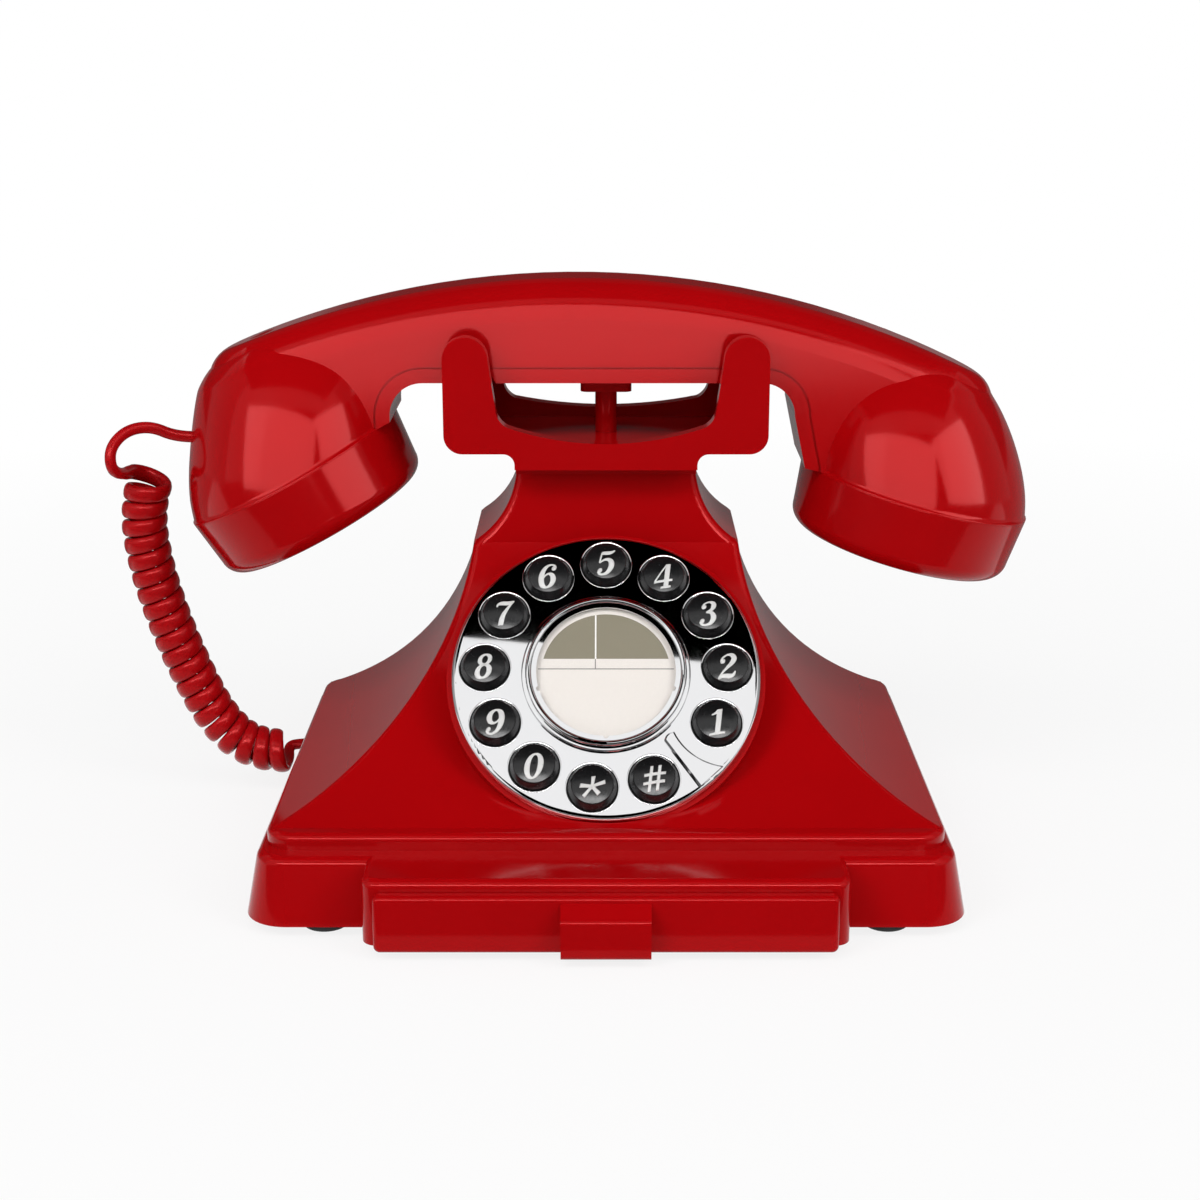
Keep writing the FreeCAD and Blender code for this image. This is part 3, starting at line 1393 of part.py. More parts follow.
def make_handset():
    handle = handle_form()
    strip = new_body("strip_form")
    pad(strip, "strip_pad", "XZ", "tower_y - handle_width", "tower_y + handle_width",
        grip_outline("strip_height"))
    ear_dome = ear_place(dome("ear_dome", "1"))
    mouth_dome = mouth_place(dome("mouth_dome", "-1"))

    seam = "handset_underside + strip_height"
    bores = []
    for name, put in (("ear", ear_place), ("mouth", mouth_place)):
        seat = "cup_bore / 2 + cup_spigot_wall + cup_spigot_room"
        bores.append(put(cylinder(name + "_seat", seat, "dome_bore_depth + 5"), "-5"))
        hollow = cylinder(name + "_hollow", "dome_hollow_diameter / 2", "dome_hollow_depth + 5")
        bores.append(put(hollow, "-5"))
    channel = block("weight_channel", "handset_x - channel_length / 2", "tower_y - channel_width / 2",
                    seam + " - 1", "channel_length", "channel_width", "channel_height + 1")
    gland_hole = cylinder("gland_hole", "gland_diameter / 2 + gland_room", "gland_length * 2")
    place(gland_hole, GLAND_X + " + gland_length", "tower_y", GLAND_Z, "0; 1; 0", "-90")
    thread = "small_screw_diameter + 2 * thread_room"
    holes = posts("handset_thread", HANDSET_SCREW_PLACES, thread, seam + " - 1", seam + " + 9")
    grooves = []
    for name, near, far in (
            ("front_parting", "tower_y - handle_width", "tower_y - handle_width / 2 + parting_depth"),
            ("rear_parting", "tower_y + handle_width / 2 - parting_depth", "tower_y + handle_width")):
        groove = new_body(name)
        pad(groove, name + "_pad", "XZ", near, far, grip_outline("strip_height + parting_width"))
        grooves.append(groove)
    upper = cut("handle_upper", handle, strip, *grooves)
    whole = fuse("handset_whole", upper, ear_dome, mouth_dome)
    piece(cut("handset_shell_cut", whole, *bores, channel, gland_hole, *holes), "handset_shell")

    lower = common("handle_lower", handle, strip)
    holes = posts("strip_hole", HANDSET_SCREW_PLACES, thread, "handset_underside - 1", seam + " + 1")
    sinks = posts("strip_sink", HANDSET_SCREW_PLACES, "small_head_diameter + head_room", "handset_underside - 1",
                  "handset_underside + small_head_height + sink_room")
    piece(cut("handset_strip", lower, ear_dome, mouth_dome, *holes, *sinks), "handset_lower_shell")
    level = "handset_underside + small_head_height + sink_room"
    items = [place(small_screw("handset_screw_%d" % n, "handset_screw_length"), x, y, level, "1; 0; 0", "180")
             for n, (x, y) in enumerate(HANDSET_SCREW_PLACES)]
    piece(group("handset_screw_group", items), "handset_screws")

    bar = new_body("weight_body")
    corners = rounded("weight_length", "weight_width", "2", "tower_y")
    pad(bar, "weight_bar", "XY", seam, seam + " + weight_height",
        [("%s + handset_x" % x, y, *rest) for x, y, *rest in corners])
    piece(bar, "handset_weight")

    piece(ear_place(cup("ear_cup", 6)), "ear_cap")
    piece(mouth_place(cup("mouth_cup", 4)), "mouth_cap")
    piece(ear_place(capsule("receiver", "receiver_diameter", "receiver_height")), "receiver_capsule")
    piece(mouth_place(capsule("microphone", "microphone_diameter", "microphone_height")),
          "microphone_capsule")


# Handset cord

CORD_LEAD = [
    Vector(-119.4, 32.0, 107.3),
    Vector(-125.6, 29.6, 110.8),
    Vector(-131.6, 26.0, 110.4),
    Vector(-135.4, 22.0, 106.4),
    Vector(-135.4, 20.8, 101.0),
]
CURL_AXIS = [
    Vector(-127.8, 33.5, 95.3),
    Vector(-130.6, 33.8, 86.0),
    Vector(-129.6, 34.6, 71.0),
    Vector(-125.6, 35.4, 54.0),
    Vector(-119.8, 36.2, 37.0),
    Vector(-113.2, 37.0, 22.0),
    Vector(-103.5, 37.4, 12.6),
    Vector(-94.6, 37.5, 12.3),
]


def tube(edges, diameter):
    """A round tube along joined edges."""
    first = edges[0]
    start = first.valueAt(first.FirstParameter)
    along = first.tangentAt(first.FirstParameter)
    section = Part.Wire([Part.Circle(start, along, diameter / 2).toShape()])
    shell = Part.BRepOffsetAPI.MakePipeShell(Part.Wire(edges))
    shell.add(section)
    shell.build()
    shell.makeSolid()
    return shell.shape()


def arc_from(start, along, end):
    """The arc that leaves start along a heading and reaches end."""
    chord = end - start
    across = along - chord * (along.dot(chord) / chord.dot(chord))
    angle = along.getAngle(chord)
    if angle < 1e-6:
        return Part.LineSegment(start, end).toShape()
    bulge = across.normalize() * (chord.Length / 2 * math.tan(angle / 2))
    return Part.Arc(start, (start + end) * 0.5 + bulge, end).toShape()


def path_through(stations):
    """Edges through points with headings: two arcs from each station to the next, smooth throughout."""
    edges = []
    for (a, s), (b, t) in zip(stations, stations[1:]):
        chord = b - a
        bend = 2 * (s.dot(t) - 1)
        lean = chord.dot(s + t)
        reach = (lean - math.sqrt(lean ** 2 - bend * chord.dot(chord))) / bend
        middle = (a + b + (s - t) * reach) * 0.5
        edges.append(arc_from(a, s, middle))
        back = arc_from(b, t * -1, middle)
        centre = back.valueAt((back.FirstParameter + back.LastParameter) / 2)
        edges.append(Part.Arc(middle, centre, b).toShape())
    return edges


def route_through(points):
    """Straight runs between points, joined by tangent arcs as large as the runs allow; prints their radii."""
    edges = []
    radii = []
    here = points[0]
    for before, point, after in zip(points, points[1:], points[2:]):
        come = (point - before).normalize()
        go = (after - point).normalize()
        room = 0.45 * min((point - before).Length, (after - point).Length)
        turn = come.getAngle(go)
        radii.append(room / math.tan(turn / 2))
        first = point - come * room
        last = point + go * room
        edges.append(Part.LineSegment(here, first).toShape())
        edges.append(arc_from(first, come, last))
        here = last
    edges.append(Part.LineSegment(here, points[-1]).toShape())
    print("lead bends: " + ", ".join("%.1f" % radius for radius in radii))
    return edges


def curl_stations(turns):
    """Quarter turns of the curl about its axis, on a frame carried along without twist.

    The first turn is wider than the rest, as the free end of a curl is.
    """
    last = len(CURL_AXIS) - 3
    knots = [float(number) for number in range(last + 2)]
    axis = Part.BSplineCurve()
    axis.buildFromPolesMultsKnots(CURL_AXIS, [3] + [1] * last + [3], knots, False, 2)
    edge = axis.toShape()
    full = size("(curl_diameter - cord_diameter) / 2")
    flare = size("curl_flare")
    pitch = edge.Length / turns
    fine = 16
    out = Vector(-1, 0, 0)
    stations = []
    for step in range(turns * 4 * fine + 1):
        turn = step / (4 * fine)
        early = max(0.0, 1.0 - turn)
        at = edge.getParameterByLength(min(pitch * turn, edge.Length))
        ahead = edge.tangentAt(at).normalize()
        out = (out - ahead * out.dot(ahead)).normalize()
        if step % fine:
            continue
        side = ahead.cross(out)
        angle = 2 * math.pi * turn
        spoke = out * math.cos(angle) + side * math.sin(angle)
        sweep = side * math.cos(angle) - out * math.sin(angle)
        radius = full + flare * early ** 2
        heading = sweep * (2 * math.pi * radius) + ahead * pitch - spoke * (2 * flare * early)
        stations.append((edge.valueAt(at) + spoke * radius, heading.normalize()))
    return stations


def report_cord(edges, diameter):
    """Prints the cord's length, its tightest bend and the least gap between its turns."""
    points = []
    for edge in edges:
        points += edge.discretize(Number=max(3, int(edge.Length / 0.8)))[:-1]
    step = sum(edge.Length for edge in edges) / len(points)
    skip = int(4 * diameter / step)
    count = len(points)
    least = min((points[i] - points[j]).Length for i in range(count) for j in range(i + skip, count))
    bends = [edge.Curve.Radius for edge in edges if hasattr(edge.Curve, "Radius")]
    length = sum(edge.Length for edge in edges)
    lowest = min(point.z for point in points) - diameter / 2
    print("cord length %.1f, tightest bend %.2f, least gap %.2f, lowest %.2f" % (
        length, min(bends), least - diameter, lowest))


def make_cord():
    gland = new_body("gland_body")
    rim = "gland_diameter / 2"
    revolve(gland, "gland_turned", [
        ("0", "-gland_length"),
        (rim, "-gland_length"),
        (rim, "-0.6"),
        (rim + " - 0.6", "0"),
        ("0", "0"),
    ])
    piece(place(gland, GLAND_X, "tower_y", GLAND_Z, "0; 1; 0", "-90"), "cord_gland")

    face = "(-plinth_width / 2 - plug_stand)"
    inner = "(-plinth_width / 2 + wall + %s + plug_inside)" % PLINTH_IN
    plug = new_body("plug_body")
    y = "handset_socket_y"
    z = "handset_socket_z"
    pad(plug, "plug_block", "YZ", face, inner,
        box(y + " - plug_width / 2", y + " + plug_width / 2",
            z + " - plug_height / 2", z + " + plug_height / 2"))
    fillet(plug, "plug_round", "0.8", lambda edge: edge.BoundBox.XLength > 1)
    pad(plug, "plug_boot_pad", "YZ", face + " - plug_boot", face + " + 0.5",
        ("ring", y, z, "cord_diameter / 2 + boot_wall"))
    piece(plug, "cord_plug")

    diameter = size("cord_diameter")
    curl = curl_stations(int(size("curl_turns")))
    top, heading = curl[0]
    join = top - heading * diameter
    start = Vector(size(GLAND_X), size("tower_y"), size(GLAND_Z))
    lead = route_through([start] + CORD_LEAD + [join - heading * size("lead_run"), join])
    end = Vector(size(face + " - plug_boot"), size(y), size(z))
    inward = Vector(1, 0, 0)
    curl.append((end - inward * diameter, inward))
    turns = [Part.LineSegment(join, top).toShape()] + path_through(curl)
    turns.append(Part.LineSegment(curl[-1][0], end).toShape())
    report_cord(lead + turns, diameter)
    for name, edges, label in (("lead_tube", lead, "cord_lead"), ("curl_tube", turns, "curly_cord")):
        item = doc.addObject("Part::Feature", name)
        item.Shape = tube(edges, diameter)
        length = sum(edge.Length for edge in edges)
        print("%s: length %.1f, volume %.4f of section times length" % (
            label, length, item.Shape.Volume / (length * math.pi * diameter ** 2 / 4)))
        piece(item, label)


for make in (make_housing, make_base, make_drawer, make_cover, make_sockets, make_dial, make_keys, make_keypad,
             make_cradle, make_hook, make_handset, make_cord):
    make()
doc.recompute()

for item in doc.Objects:
    if "Invalid" in item.State or "Error" in item.State:
        raise RuntimeError("%s did not build: %s" % (item.Name, item.State))
for item in pieces:
    if item.Shape.isNull() or not item.Shape.isValid():
        raise RuntimeError("%s has no valid shape" % item.Label)

os.makedirs("parts", exist_ok=True)
for item in pieces:
    item.Shape.exportStep("parts/%s.step" % item.Label)
print("wrote %d pieces" % len(pieces))
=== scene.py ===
"""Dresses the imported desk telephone: finishes, cord, bells, key figures, dial card, contacts and stage.

Metres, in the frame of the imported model: +X is to the right of someone who faces the dial, -Y is towards them
and +Z is up.
"""

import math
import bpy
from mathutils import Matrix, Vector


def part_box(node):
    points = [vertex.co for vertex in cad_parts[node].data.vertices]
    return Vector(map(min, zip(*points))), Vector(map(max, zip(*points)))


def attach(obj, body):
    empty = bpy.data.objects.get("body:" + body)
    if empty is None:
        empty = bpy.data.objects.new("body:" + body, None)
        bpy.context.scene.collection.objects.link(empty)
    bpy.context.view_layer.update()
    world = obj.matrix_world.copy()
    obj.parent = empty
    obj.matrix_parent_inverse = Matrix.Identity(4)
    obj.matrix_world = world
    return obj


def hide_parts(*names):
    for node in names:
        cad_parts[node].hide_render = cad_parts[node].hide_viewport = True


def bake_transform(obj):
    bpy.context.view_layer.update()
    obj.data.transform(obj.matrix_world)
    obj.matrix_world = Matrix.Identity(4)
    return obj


bl_info = {
    "name": "Desk Telephone Dressing",
    "version": (1, 0, 0),
    "blender": (4, 5, 0),
    "location": "3D View > Sidebar > Telephone",
    "description": "Finishes, cord, figures and stage for the packed desk telephone",
    "category": "Object",
}

import bpy
from bpy.props import FloatProperty, FloatVectorProperty, IntProperty, PointerProperty
from mathutils import Matrix, Vector
from mathutils.bvhtree import BVHTree

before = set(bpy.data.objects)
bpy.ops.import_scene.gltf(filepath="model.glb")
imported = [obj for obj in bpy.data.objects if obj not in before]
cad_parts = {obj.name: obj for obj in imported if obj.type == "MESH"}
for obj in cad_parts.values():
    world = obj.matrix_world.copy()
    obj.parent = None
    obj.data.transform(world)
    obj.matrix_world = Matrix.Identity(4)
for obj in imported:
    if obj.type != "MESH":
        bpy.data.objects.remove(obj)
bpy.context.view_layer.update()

MM = 0.001
UPRIGHT = math.pi / 2
WHITE = (1.0, 1.0, 1.0)
BLACK = (0.0, 0.0, 0.0)

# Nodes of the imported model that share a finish
KEY_NAMES = ["1", "2", "3", "4", "5", "6", "7", "8", "9", "0", "star", "hash"]
BODY_MOULDINGS = ["upper_housing", "drawer", "cradle", "hook_plunger"]
HANDSET_MOULDINGS = ["handset_shell", "handset_lower_shell", "ear_cap", "mouth_cap"]
INNER_MOULDINGS = ["base_plate", "drawer_cover", "line_jack", "handset_jack", "hook_switch", "ringer_sounder",
                   "receiver_capsule", "microphone_capsule"]
CHROME_PIECES = ["dial_plate", "label_bezel"]
STEEL_PIECES = ["base_screws", "cover_screws", "ballast_screws", "board_screws", "cradle_screws",
                "bracket_screws", "keypad_screws", "handset_screws", "plunger_spring", "hook_bracket"]
# Skins that the handset wears over its two domes
BELLS = ["ear_bell", "mouth_bell"]

# The route of the handset cord from the gland to the plug, in millimetres
LEAD_ROUTE = [
    (-114.1, 32.0, 107.3),
    (-119.4, 32.0, 107.3),
    (-125.6, 29.6, 110.8),
    (-131.6, 26.0, 110.4),
    (-135.4, 22.0, 106.4),
    (-135.4, 20.8, 101.0),
]
CURL_ROUTE = [
    (-127.8, 33.5, 95.3),
    (-130.6, 33.8, 86.0),
    (-129.6, 34.6, 71.0),
    (-125.6, 35.4, 54.0),
    (-119.8, 36.2, 37.0),
    (-113.2, 37.0, 22.0),
    (-103.5, 37.4, 12.6),
    (-94.6, 37.5, 12.3),
]
TAIL_ROUTE = [
    (-95.2, 49.2, 9.3),
    (-92.0, 49.5, 10.0),
    (-89.0, 49.5, 10.0),
]
# Points in one curl, along each span of its axis and of the ends, and rounds that ease the jacket's width
CURL_STEPS = 28
AXIS_STEPS = 40
END_STEPS = 12
EASE_ROUNDS = 12

# A contact of the line socket, as (distance behind the socket's mouth, level) in millimetres
CONTACT_ROUTE = [
    (12.0, 12.9),
    (9.2, 12.7),
    (2.2, 12.9),
    (1.7, 11.7),
    (6.0, 9.5),
    (10.5, 8.0),
]

# The leanest form of the handset's bells over their seams, as (radius, height) in millimetres
BELL_PROFILE = [
    (31.90, 0.4),
    (30.75, 6.0),
    (28.45, 12.0),
    (25.40, 18.0),
    (22.00, 24.0),
    (18.80, 29.0),
    (16.60, 31.6),
    (12.40, 34.2),
    (6.60, 36.0),
    (0.40, 36.5),
]

# How far the rounded edge of a key hole laps onto the plate, and how far it stands on it
EDGE_LAP = 0.00012
EDGE_LIFT = 0.000004
# One layer of print on the card, how deep print is rooted in it, and how far its face stays inside its rim
PRINT_LAYER = 0.00001
PRINT_ROOT = 0.00005
FACE_MARGIN = 0.00005
# How deep a figure's rim goes into its key, in thicknesses of the print, and where rays to the keys start
FIGURE_ROOT = 1.6
RAY_START = 0.02

# The middle part of a noise, which is spread over the range of a finish
NOISE_LOW = 0.3
NOISE_HIGH = 0.7
# How far roughness wanders to each side of its mean, as a share of it
GLOSS_WANDER = 0.15

# Soft lamps, which polished faces don't mirror: the setting of their power, their sides and their place
LAMPS = {
    "key_lamp": ("key_power", (0.5, 0.8), (-0.75, -0.75, 0.85)),
    "fill_lamp": ("fill_power", (0.5, 0.8), (0.85, -0.65, 0.80)),
    "top_lamp": ("top_power", (1.2, 0.25), (0.0, -0.75, 1.10)),
}
# Soft boxes, which are only mirrored: the same, and INCLUDE where the handset alone mirrors them, or EXCLUDE
# where all but the handset and the chrome does
SOFT_BOXES = {
    "key_gleam": ("key_power", (0.5, 0.8), (-0.75, -0.75, 0.85), "EXCLUDE"),
    "fill_gleam": ("fill_power", (0.5, 0.8), (0.85, -0.65, 0.80), "EXCLUDE"),
    "edge_gleam": ("edge_gleam", (1.6, 0.25), (0.0, -1.0, 0.55), "EXCLUDE"),
    "left_gleam": ("left_gleam", (0.97, 0.56), (-0.151, -0.509, 0.262), "INCLUDE"),
    "right_gleam": ("right_gleam", (0.54, 0.56), (0.544, -0.395, 0.313), "INCLUDE"),
}
LAMP_AIM = (0.0, 0.0, 0.07)
# Cards that only mirrors see: their sides, place, turn and glow
STUDIO_CARDS = {
    "dark_ceiling": ((1.6, 1.3), (0.0, 0.221, 1.0), (math.pi, 0.0, -0.115), 0.0),
    "dark_front": ((1.5, 1.1), (0.0, -1.05, 0.60), (UPRIGHT, 0.0, 0.0), 0.0),
    "dark_table": ((3.0, 1.72), (0.0, -0.945, 0.002), (0.0, 0.0, 0.0), 0.12),
    "grey_table": ((2.4, 0.31), (0.0, 0.245, 0.002), (0.0, 0.0, 0.0), 0.20),
    "grey_back": ((2.4, 0.16), (0.0, 0.40, 0.08), (UPRIGHT, 0.0, 0.0), 0.20),
    "dark_back": ((2.4, 0.50), (0.0, 0.40, 0.41), (UPRIGHT, 0.0, 0.0), 0.03),
    "grey_left": ((2.0, 1.4), (-1.10, 0.75, 0.60), (UPRIGHT, 0.0, UPRIGHT), 0.35),
    "grey_right": ((2.0, 1.4), (1.10, 0.75, 0.60), (UPRIGHT, 0.0, -UPRIGHT), 0.35),
}
# The camera's sensor in millimetres, and the nearest and farthest that it sees
SENSOR_WIDTH = 36.0
NEAREST = 0.01
FARTHEST = 50.0


# Settings

def number_setting(name, description, default):
    """A plain number."""
    return FloatProperty(name=name, description=description, default=default)


def length_setting(name, description, default):
    """A length in metres."""
    return FloatProperty(name=name, description=description, default=default, unit="LENGTH", precision=5)


def angle_setting(name, description, degrees):
    """An angle, whose default is given in degrees."""
    return FloatProperty(name=name, description=description, default=math.radians(degrees), subtype="ANGLE")


def share_setting(name, description, default):
    """A share from nothing to the whole."""
    return FloatProperty(name=name, description=description, default=default, min=0.0, max=1.0,
                         subtype="FACTOR")


def power_setting(name, description, default):
    """The power of a lamp in watts."""
    return FloatProperty(name=name, description=description, default=default, min=0.0, subtype="POWER")


def place_setting(name, description, default):
    """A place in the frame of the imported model."""
    return FloatVectorProperty(name=name, description=description, default=default, subtype="TRANSLATION",
                               unit="LENGTH", precision=5)


def colour_setting(name, description, default):
    """A colour in linear light."""
    return FloatVectorProperty(name=name, description=description, default=default, subtype="COLOR", size=3,
                               min=0.0, max=1.0)


class PlasticSettings(bpy.types.PropertyGroup):
    """Colours and gloss of the mouldings"""

    red: colour_setting("Red", "Colour of the housing, cradle, drawer and handset", (0.36, 0.0012, 0.0025))
    cord_red: colour_setting("Cord red", "Colour of the cord's jacket", (0.37, 0.003, 0.005))
    gleam: colour_setting("Gleam", "Tint of the head-on reflections on the red mouldings", (1.0, 0.18, 0.18))
    gloss: share_setting("Roughness", "Mean roughness of the red mouldings", 0.12)
    black: colour_setting("Black", "Colour of the keys", (0.006, 0.006, 0.0065))
    inner_black: colour_setting("Inner black", "Colour of the base and sockets", (0.014, 0.014, 0.015))
    plug: colour_setting("Plug", "Colour of the cord's plug", (0.62, 0.62, 0.60))
    rubber: colour_setting("Rubber", "Colour of the feet and the mat under the keys", (0.018, 0.018, 0.018))
    board: colour_setting("Board", "Colour of the circuit boards", (0.03, 0.16, 0.06))


class MetalSettings(bpy.types.PropertyGroup):
    """Colours of the metals"""

    chrome: colour_setting("Chrome", "Colour of the plating on the dial", (0.84, 0.84, 0.85))
    steel: colour_setting("Steel", "Colour of the screws, the spring and the bracket", (0.55, 0.55, 0.56))
    iron: colour_setting("Iron", "Colour of the weights", (0.10, 0.098, 0.095))
    gilt: colour_setting("Gilt", "Colour of the contacts in the line socket", (0.80, 0.58, 0.22))


class BellSettings(bpy.types.PropertyGroup):
    """The places and the fullness of the handset's two bells"""

    ear_seam: place_setting("Ear seam", "Middle of the seam over the ear cap", (-0.0867, 0.032, 0.0993))
    ear_tilt: angle_setting("Ear tilt", "Tilt of the ear cap", -28.1)
    mouth_seam: place_setting("Mouth seam", "Middle of the seam over the mouth cap", (0.0860, 0.032, 0.0935))
    mouth_tilt: angle_setting("Mouth tilt", "Tilt of the mouth cap", 14.7)
    lean: share_setting("Lean", "Lean of the bells towards the middle, as a share of their height", 0.16)
    lip: length_setting("Lip", "Half the height of the rounded lip along each seam", 0.0004)
    height: length_setting("Oval height", "Height of the oval that fills the bells out", 0.0365)
    ear_inner: number_setting("Ear fill", "Share of the oval in the ear bell's side by the grip", 1.5)
    ear_outer: number_setting("Ear far fill", "Share of the oval in the ear bell's far side", 0.0)
    mouth_inner: number_setting("Mouth fill", "Share of the oval in the mouth bell's side by the grip", 1.1)
    mouth_outer: number_setting("Mouth far fill", "Share of the oval in the mouth bell's far side", 0.5)


class DialSettings(bpy.types.PropertyGroup):
    """The dial's place, its key holes, its figures and its card"""

    centre: place_setting("Centre", "Middle of the dial's face", (0.0, -0.0205, 0.0556))
    tilt: angle_setting("Tilt", "Slope of the dial's face above the table", 48.0)
    hole_radius: length_setting("Key hole", "Radius of the holes round the keys", 0.0064)
    hole_edge: length_setting("Hole edge", "Radius of the rounded edges of the key holes", 0.0004)
    figure_height: length_setting("Figure height", "Height of the figures on the keys", 0.0066)
    figure_breadth: number_setting("Figure breadth", "Widening of the figures", 1.28)
    figure_weight: number_setting("Figure weight", "Thickening of the figures' strokes", 1.15)
    figure_drop: length_setting("Figure drop", "How far the figures lie below the keys' middle", 0.0009)
    figure_turn: angle_setting("Figure turn", "Turn of the figures against the dial", 9.0)
    figure_slant: angle_setting("Figure slant", "Slant of the figures before they are turned", 16.0)
    figure_print: length_setting("Print thickness", "Height of the figures above the key", 0.00006)
    white: colour_setting("White", "Colour of the figures", (0.62, 0.62, 0.61))
    cream: colour_setting("Cream", "Colour of the card", (0.75, 0.705, 0.66))
    olive: colour_setting("Olive", "Colour of the card's upper part", (0.200, 0.174, 0.105))
    pale_rule: colour_setting("Pale rule", "Colour of the rule on the olive part", (0.86, 0.85, 0.82))
    grey_rule: colour_setting("Grey rule", "Colour of the rules on the cream part", (0.20, 0.19, 0.17))
    window: colour_setting("Window", "Colour of the clear window over the card", (0.97, 0.97, 0.96))
    card_radius: length_setting("Card radius", "Radius of the card", 0.0184)
    olive_radius: length_setting("Olive radius", "Radius of the card's olive part", 0.0168)
    card_level: length_setting("Card level", "Top of the card above the dial's face", 0.0004)
    olive_level: length_setting("Olive edge", "Lower edge of the olive part above the card's middle", 0.0040)
    rule_level: length_setting("Rule level", "Lower rule above the card's middle", 0.0010)
    rule_width: length_setting("Rule width", "Width of the thin rules", 0.00028)
    rule_margin: length_setting("Rule margin", "How far the lower rule stays inside the card's rim", 0.0007)
    divider: length_setting("Divider", "Upright rule from the card's middle", -0.0029)
    divider_weight: number_setting("Divider weight", "Width of the pale rule over that of the others", 1.4)


class CordSettings(bpy.types.PropertyGroup):
    """The curled handset cord"""

    width: length_setting("Jacket width", "Width of the flat jacket, along the axis of the curls", 0.0047)
    end_width: length_setting("End width", "Width of the jacket in its lead and tail", 0.0032)
    closeness: share_setting("Closeness", "Most of the space between turns that the jacket fills", 0.97)
    thickness: length_setting("Jacket thickness", "Thickness of the flat jacket", 0.0026)
    curl: length_setting("Curl diameter", "Outer diameter of the curls", 0.0128)
    flare: length_setting("Flare", "How much wider the free end of the first curl is, in radius", 0.0006)
    turns: IntProperty(name="Turns", description="Curls between the two ends", default=20, min=4, max=60)
    lead_run: length_setting("Lead run", "Length over which the lead turns into the first curl", 0.0054)
    first_run: length_setting("First run", "Straight length before the first curl", 0.0030)
    real_length: length_setting("Length", "Length of the cord from gland to plug", 0.711)


class SocketSettings(bpy.types.PropertyGroup):
    """The contacts of the line socket"""

    contacts: IntProperty(name="Contacts", description="Contacts side by side", default=4, min=1, max=8)
    pitch: length_setting("Pitch", "Distance from one contact to the next", 0.00127)
    wire: length_setting("Wire", "Thickness of the contacts' wire", 0.00044)


class StageSettings(bpy.types.PropertyGroup):
    """Camera, lamps and floor"""

    camera_place: place_setting("Camera", "Place of the camera", (0.0, -0.5135, 0.2211))
    camera_dip: angle_setting("Dip", "Angle of the view below the horizon", 16.45)
    lens: number_setting("Lens", "Focal length of the camera in millimetres", 60.0)
    shift: number_setting("Shift", "Sideways shift of the view", -0.005)
    ambient: share_setting("Ambient", "Strength of the room's light", 0.37)
    key_power: power_setting("Key lamp", "Power of the large lamp at the left", 6.9)
    fill_power: power_setting("Fill lamp", "Power of the large lamp at the right", 5.8)
    top_power: power_setting("Top lamp", "Power of the strip lamp above the front", 3.5)
    left_gleam: power_setting("Left gleam", "Power of the soft box that the handset mirrors at left", 9.4)
    right_gleam: power_setting("Right gleam", "Power of the soft box that the handset mirrors at right", 5.2)
    edge_gleam: power_setting("Edge gleam", "Power of the strip that the rounded edges mirror", 15.0)
    floor_size: length_setting("Floor", "Side of the floor", 8.0)
    floor_colour: colour_setting("Floor colour", "Colour of the floor", (0.82, 0.82, 0.82))
    floor_white: share_setting("Floor white", "Share of plain white in the floor by the telephone", 0.84)
    fade_start: length_setting("Fade start", "Where the floor begins to fade into the backdrop", 0.15)
    fade_end: length_setting("Fade end", "Where the floor is as white as the backdrop", 0.60)


class TelephoneSettings(bpy.types.PropertyGroup):
    """All settings of the telephone"""

    plastic: PointerProperty(type=PlasticSettings)
    metal: PointerProperty(type=MetalSettings)
    bells: PointerProperty(type=BellSettings)
    dial: PointerProperty(type=DialSettings)
    cord: PointerProperty(type=CordSettings)
    socket: PointerProperty(type=SocketSettings)
    stage: PointerProperty(type=StageSettings)


# Finishes

def new_finish(name):
    """A material and its one Principled shader."""
    material = bpy.data.materials.new(name)
    material.use_nodes = True
    shader = next(node for node in material.node_tree.nodes if node.type == "BSDF_PRINCIPLED")
    return material, shader


def grain(tree, size, detail=2.0):
    """Noise in the object's own coordinates, with features of about the given size in metres."""
    place = tree.nodes.new("ShaderNodeTexCoord")
    noise = tree.nodes.new("ShaderNodeTexNoise")
    noise.inputs["Scale"].default_value = 1.0 / size
    noise.inputs["Detail"].default_value = detail
    tree.links.new(place.outputs["Object"], noise.inputs["Vector"])
    return noise


def vary(tree, source, target, low, high):
    """Spreads a noise over a range of values on a socket."""
    spread = tree.nodes.new("ShaderNodeMapRange")
    spread.inputs["From Min"].default_value = NOISE_LOW
    spread.inputs["From Max"].default_value = NOISE_HIGH
    spread.inputs["To Min"].default_value = low
    spread.inputs["To Max"].default_value = high
    tree.links.new(source.outputs["Fac"], spread.inputs["Value"])
    tree.links.new(spread.outputs["Result"], target)


def vary_gloss(tree, source, shader, mean):
    """Lets roughness wander round its mean."""
    low = mean * (1.0 - GLOSS_WANDER)
    high = min(1.0, mean * (1.0 + GLOSS_WANDER))
    vary(tree, source, shader.inputs["Roughness"], low, high)


def vary_colour(tree, source, shader, colour, wander):
    """Lets the colour wander between a darker and a lighter shade."""
    ramp = tree.nodes.new("ShaderNodeValToRGB")
    ends = ramp.color_ramp.elements
    for end, position, amount in ((ends[0], NOISE_LOW, 1.0 - wander), (ends[1], NOISE_HIGH, 1.0 + wander)):
        end.position = position
        end.color = (*[min(1.0, channel * amount) for channel in colour], 1.0)
    tree.links.new(source.outputs["Fac"], ramp.inputs["Fac"])
    tree.links.new(ramp.outputs["Color"], shader.inputs["Base Color"])


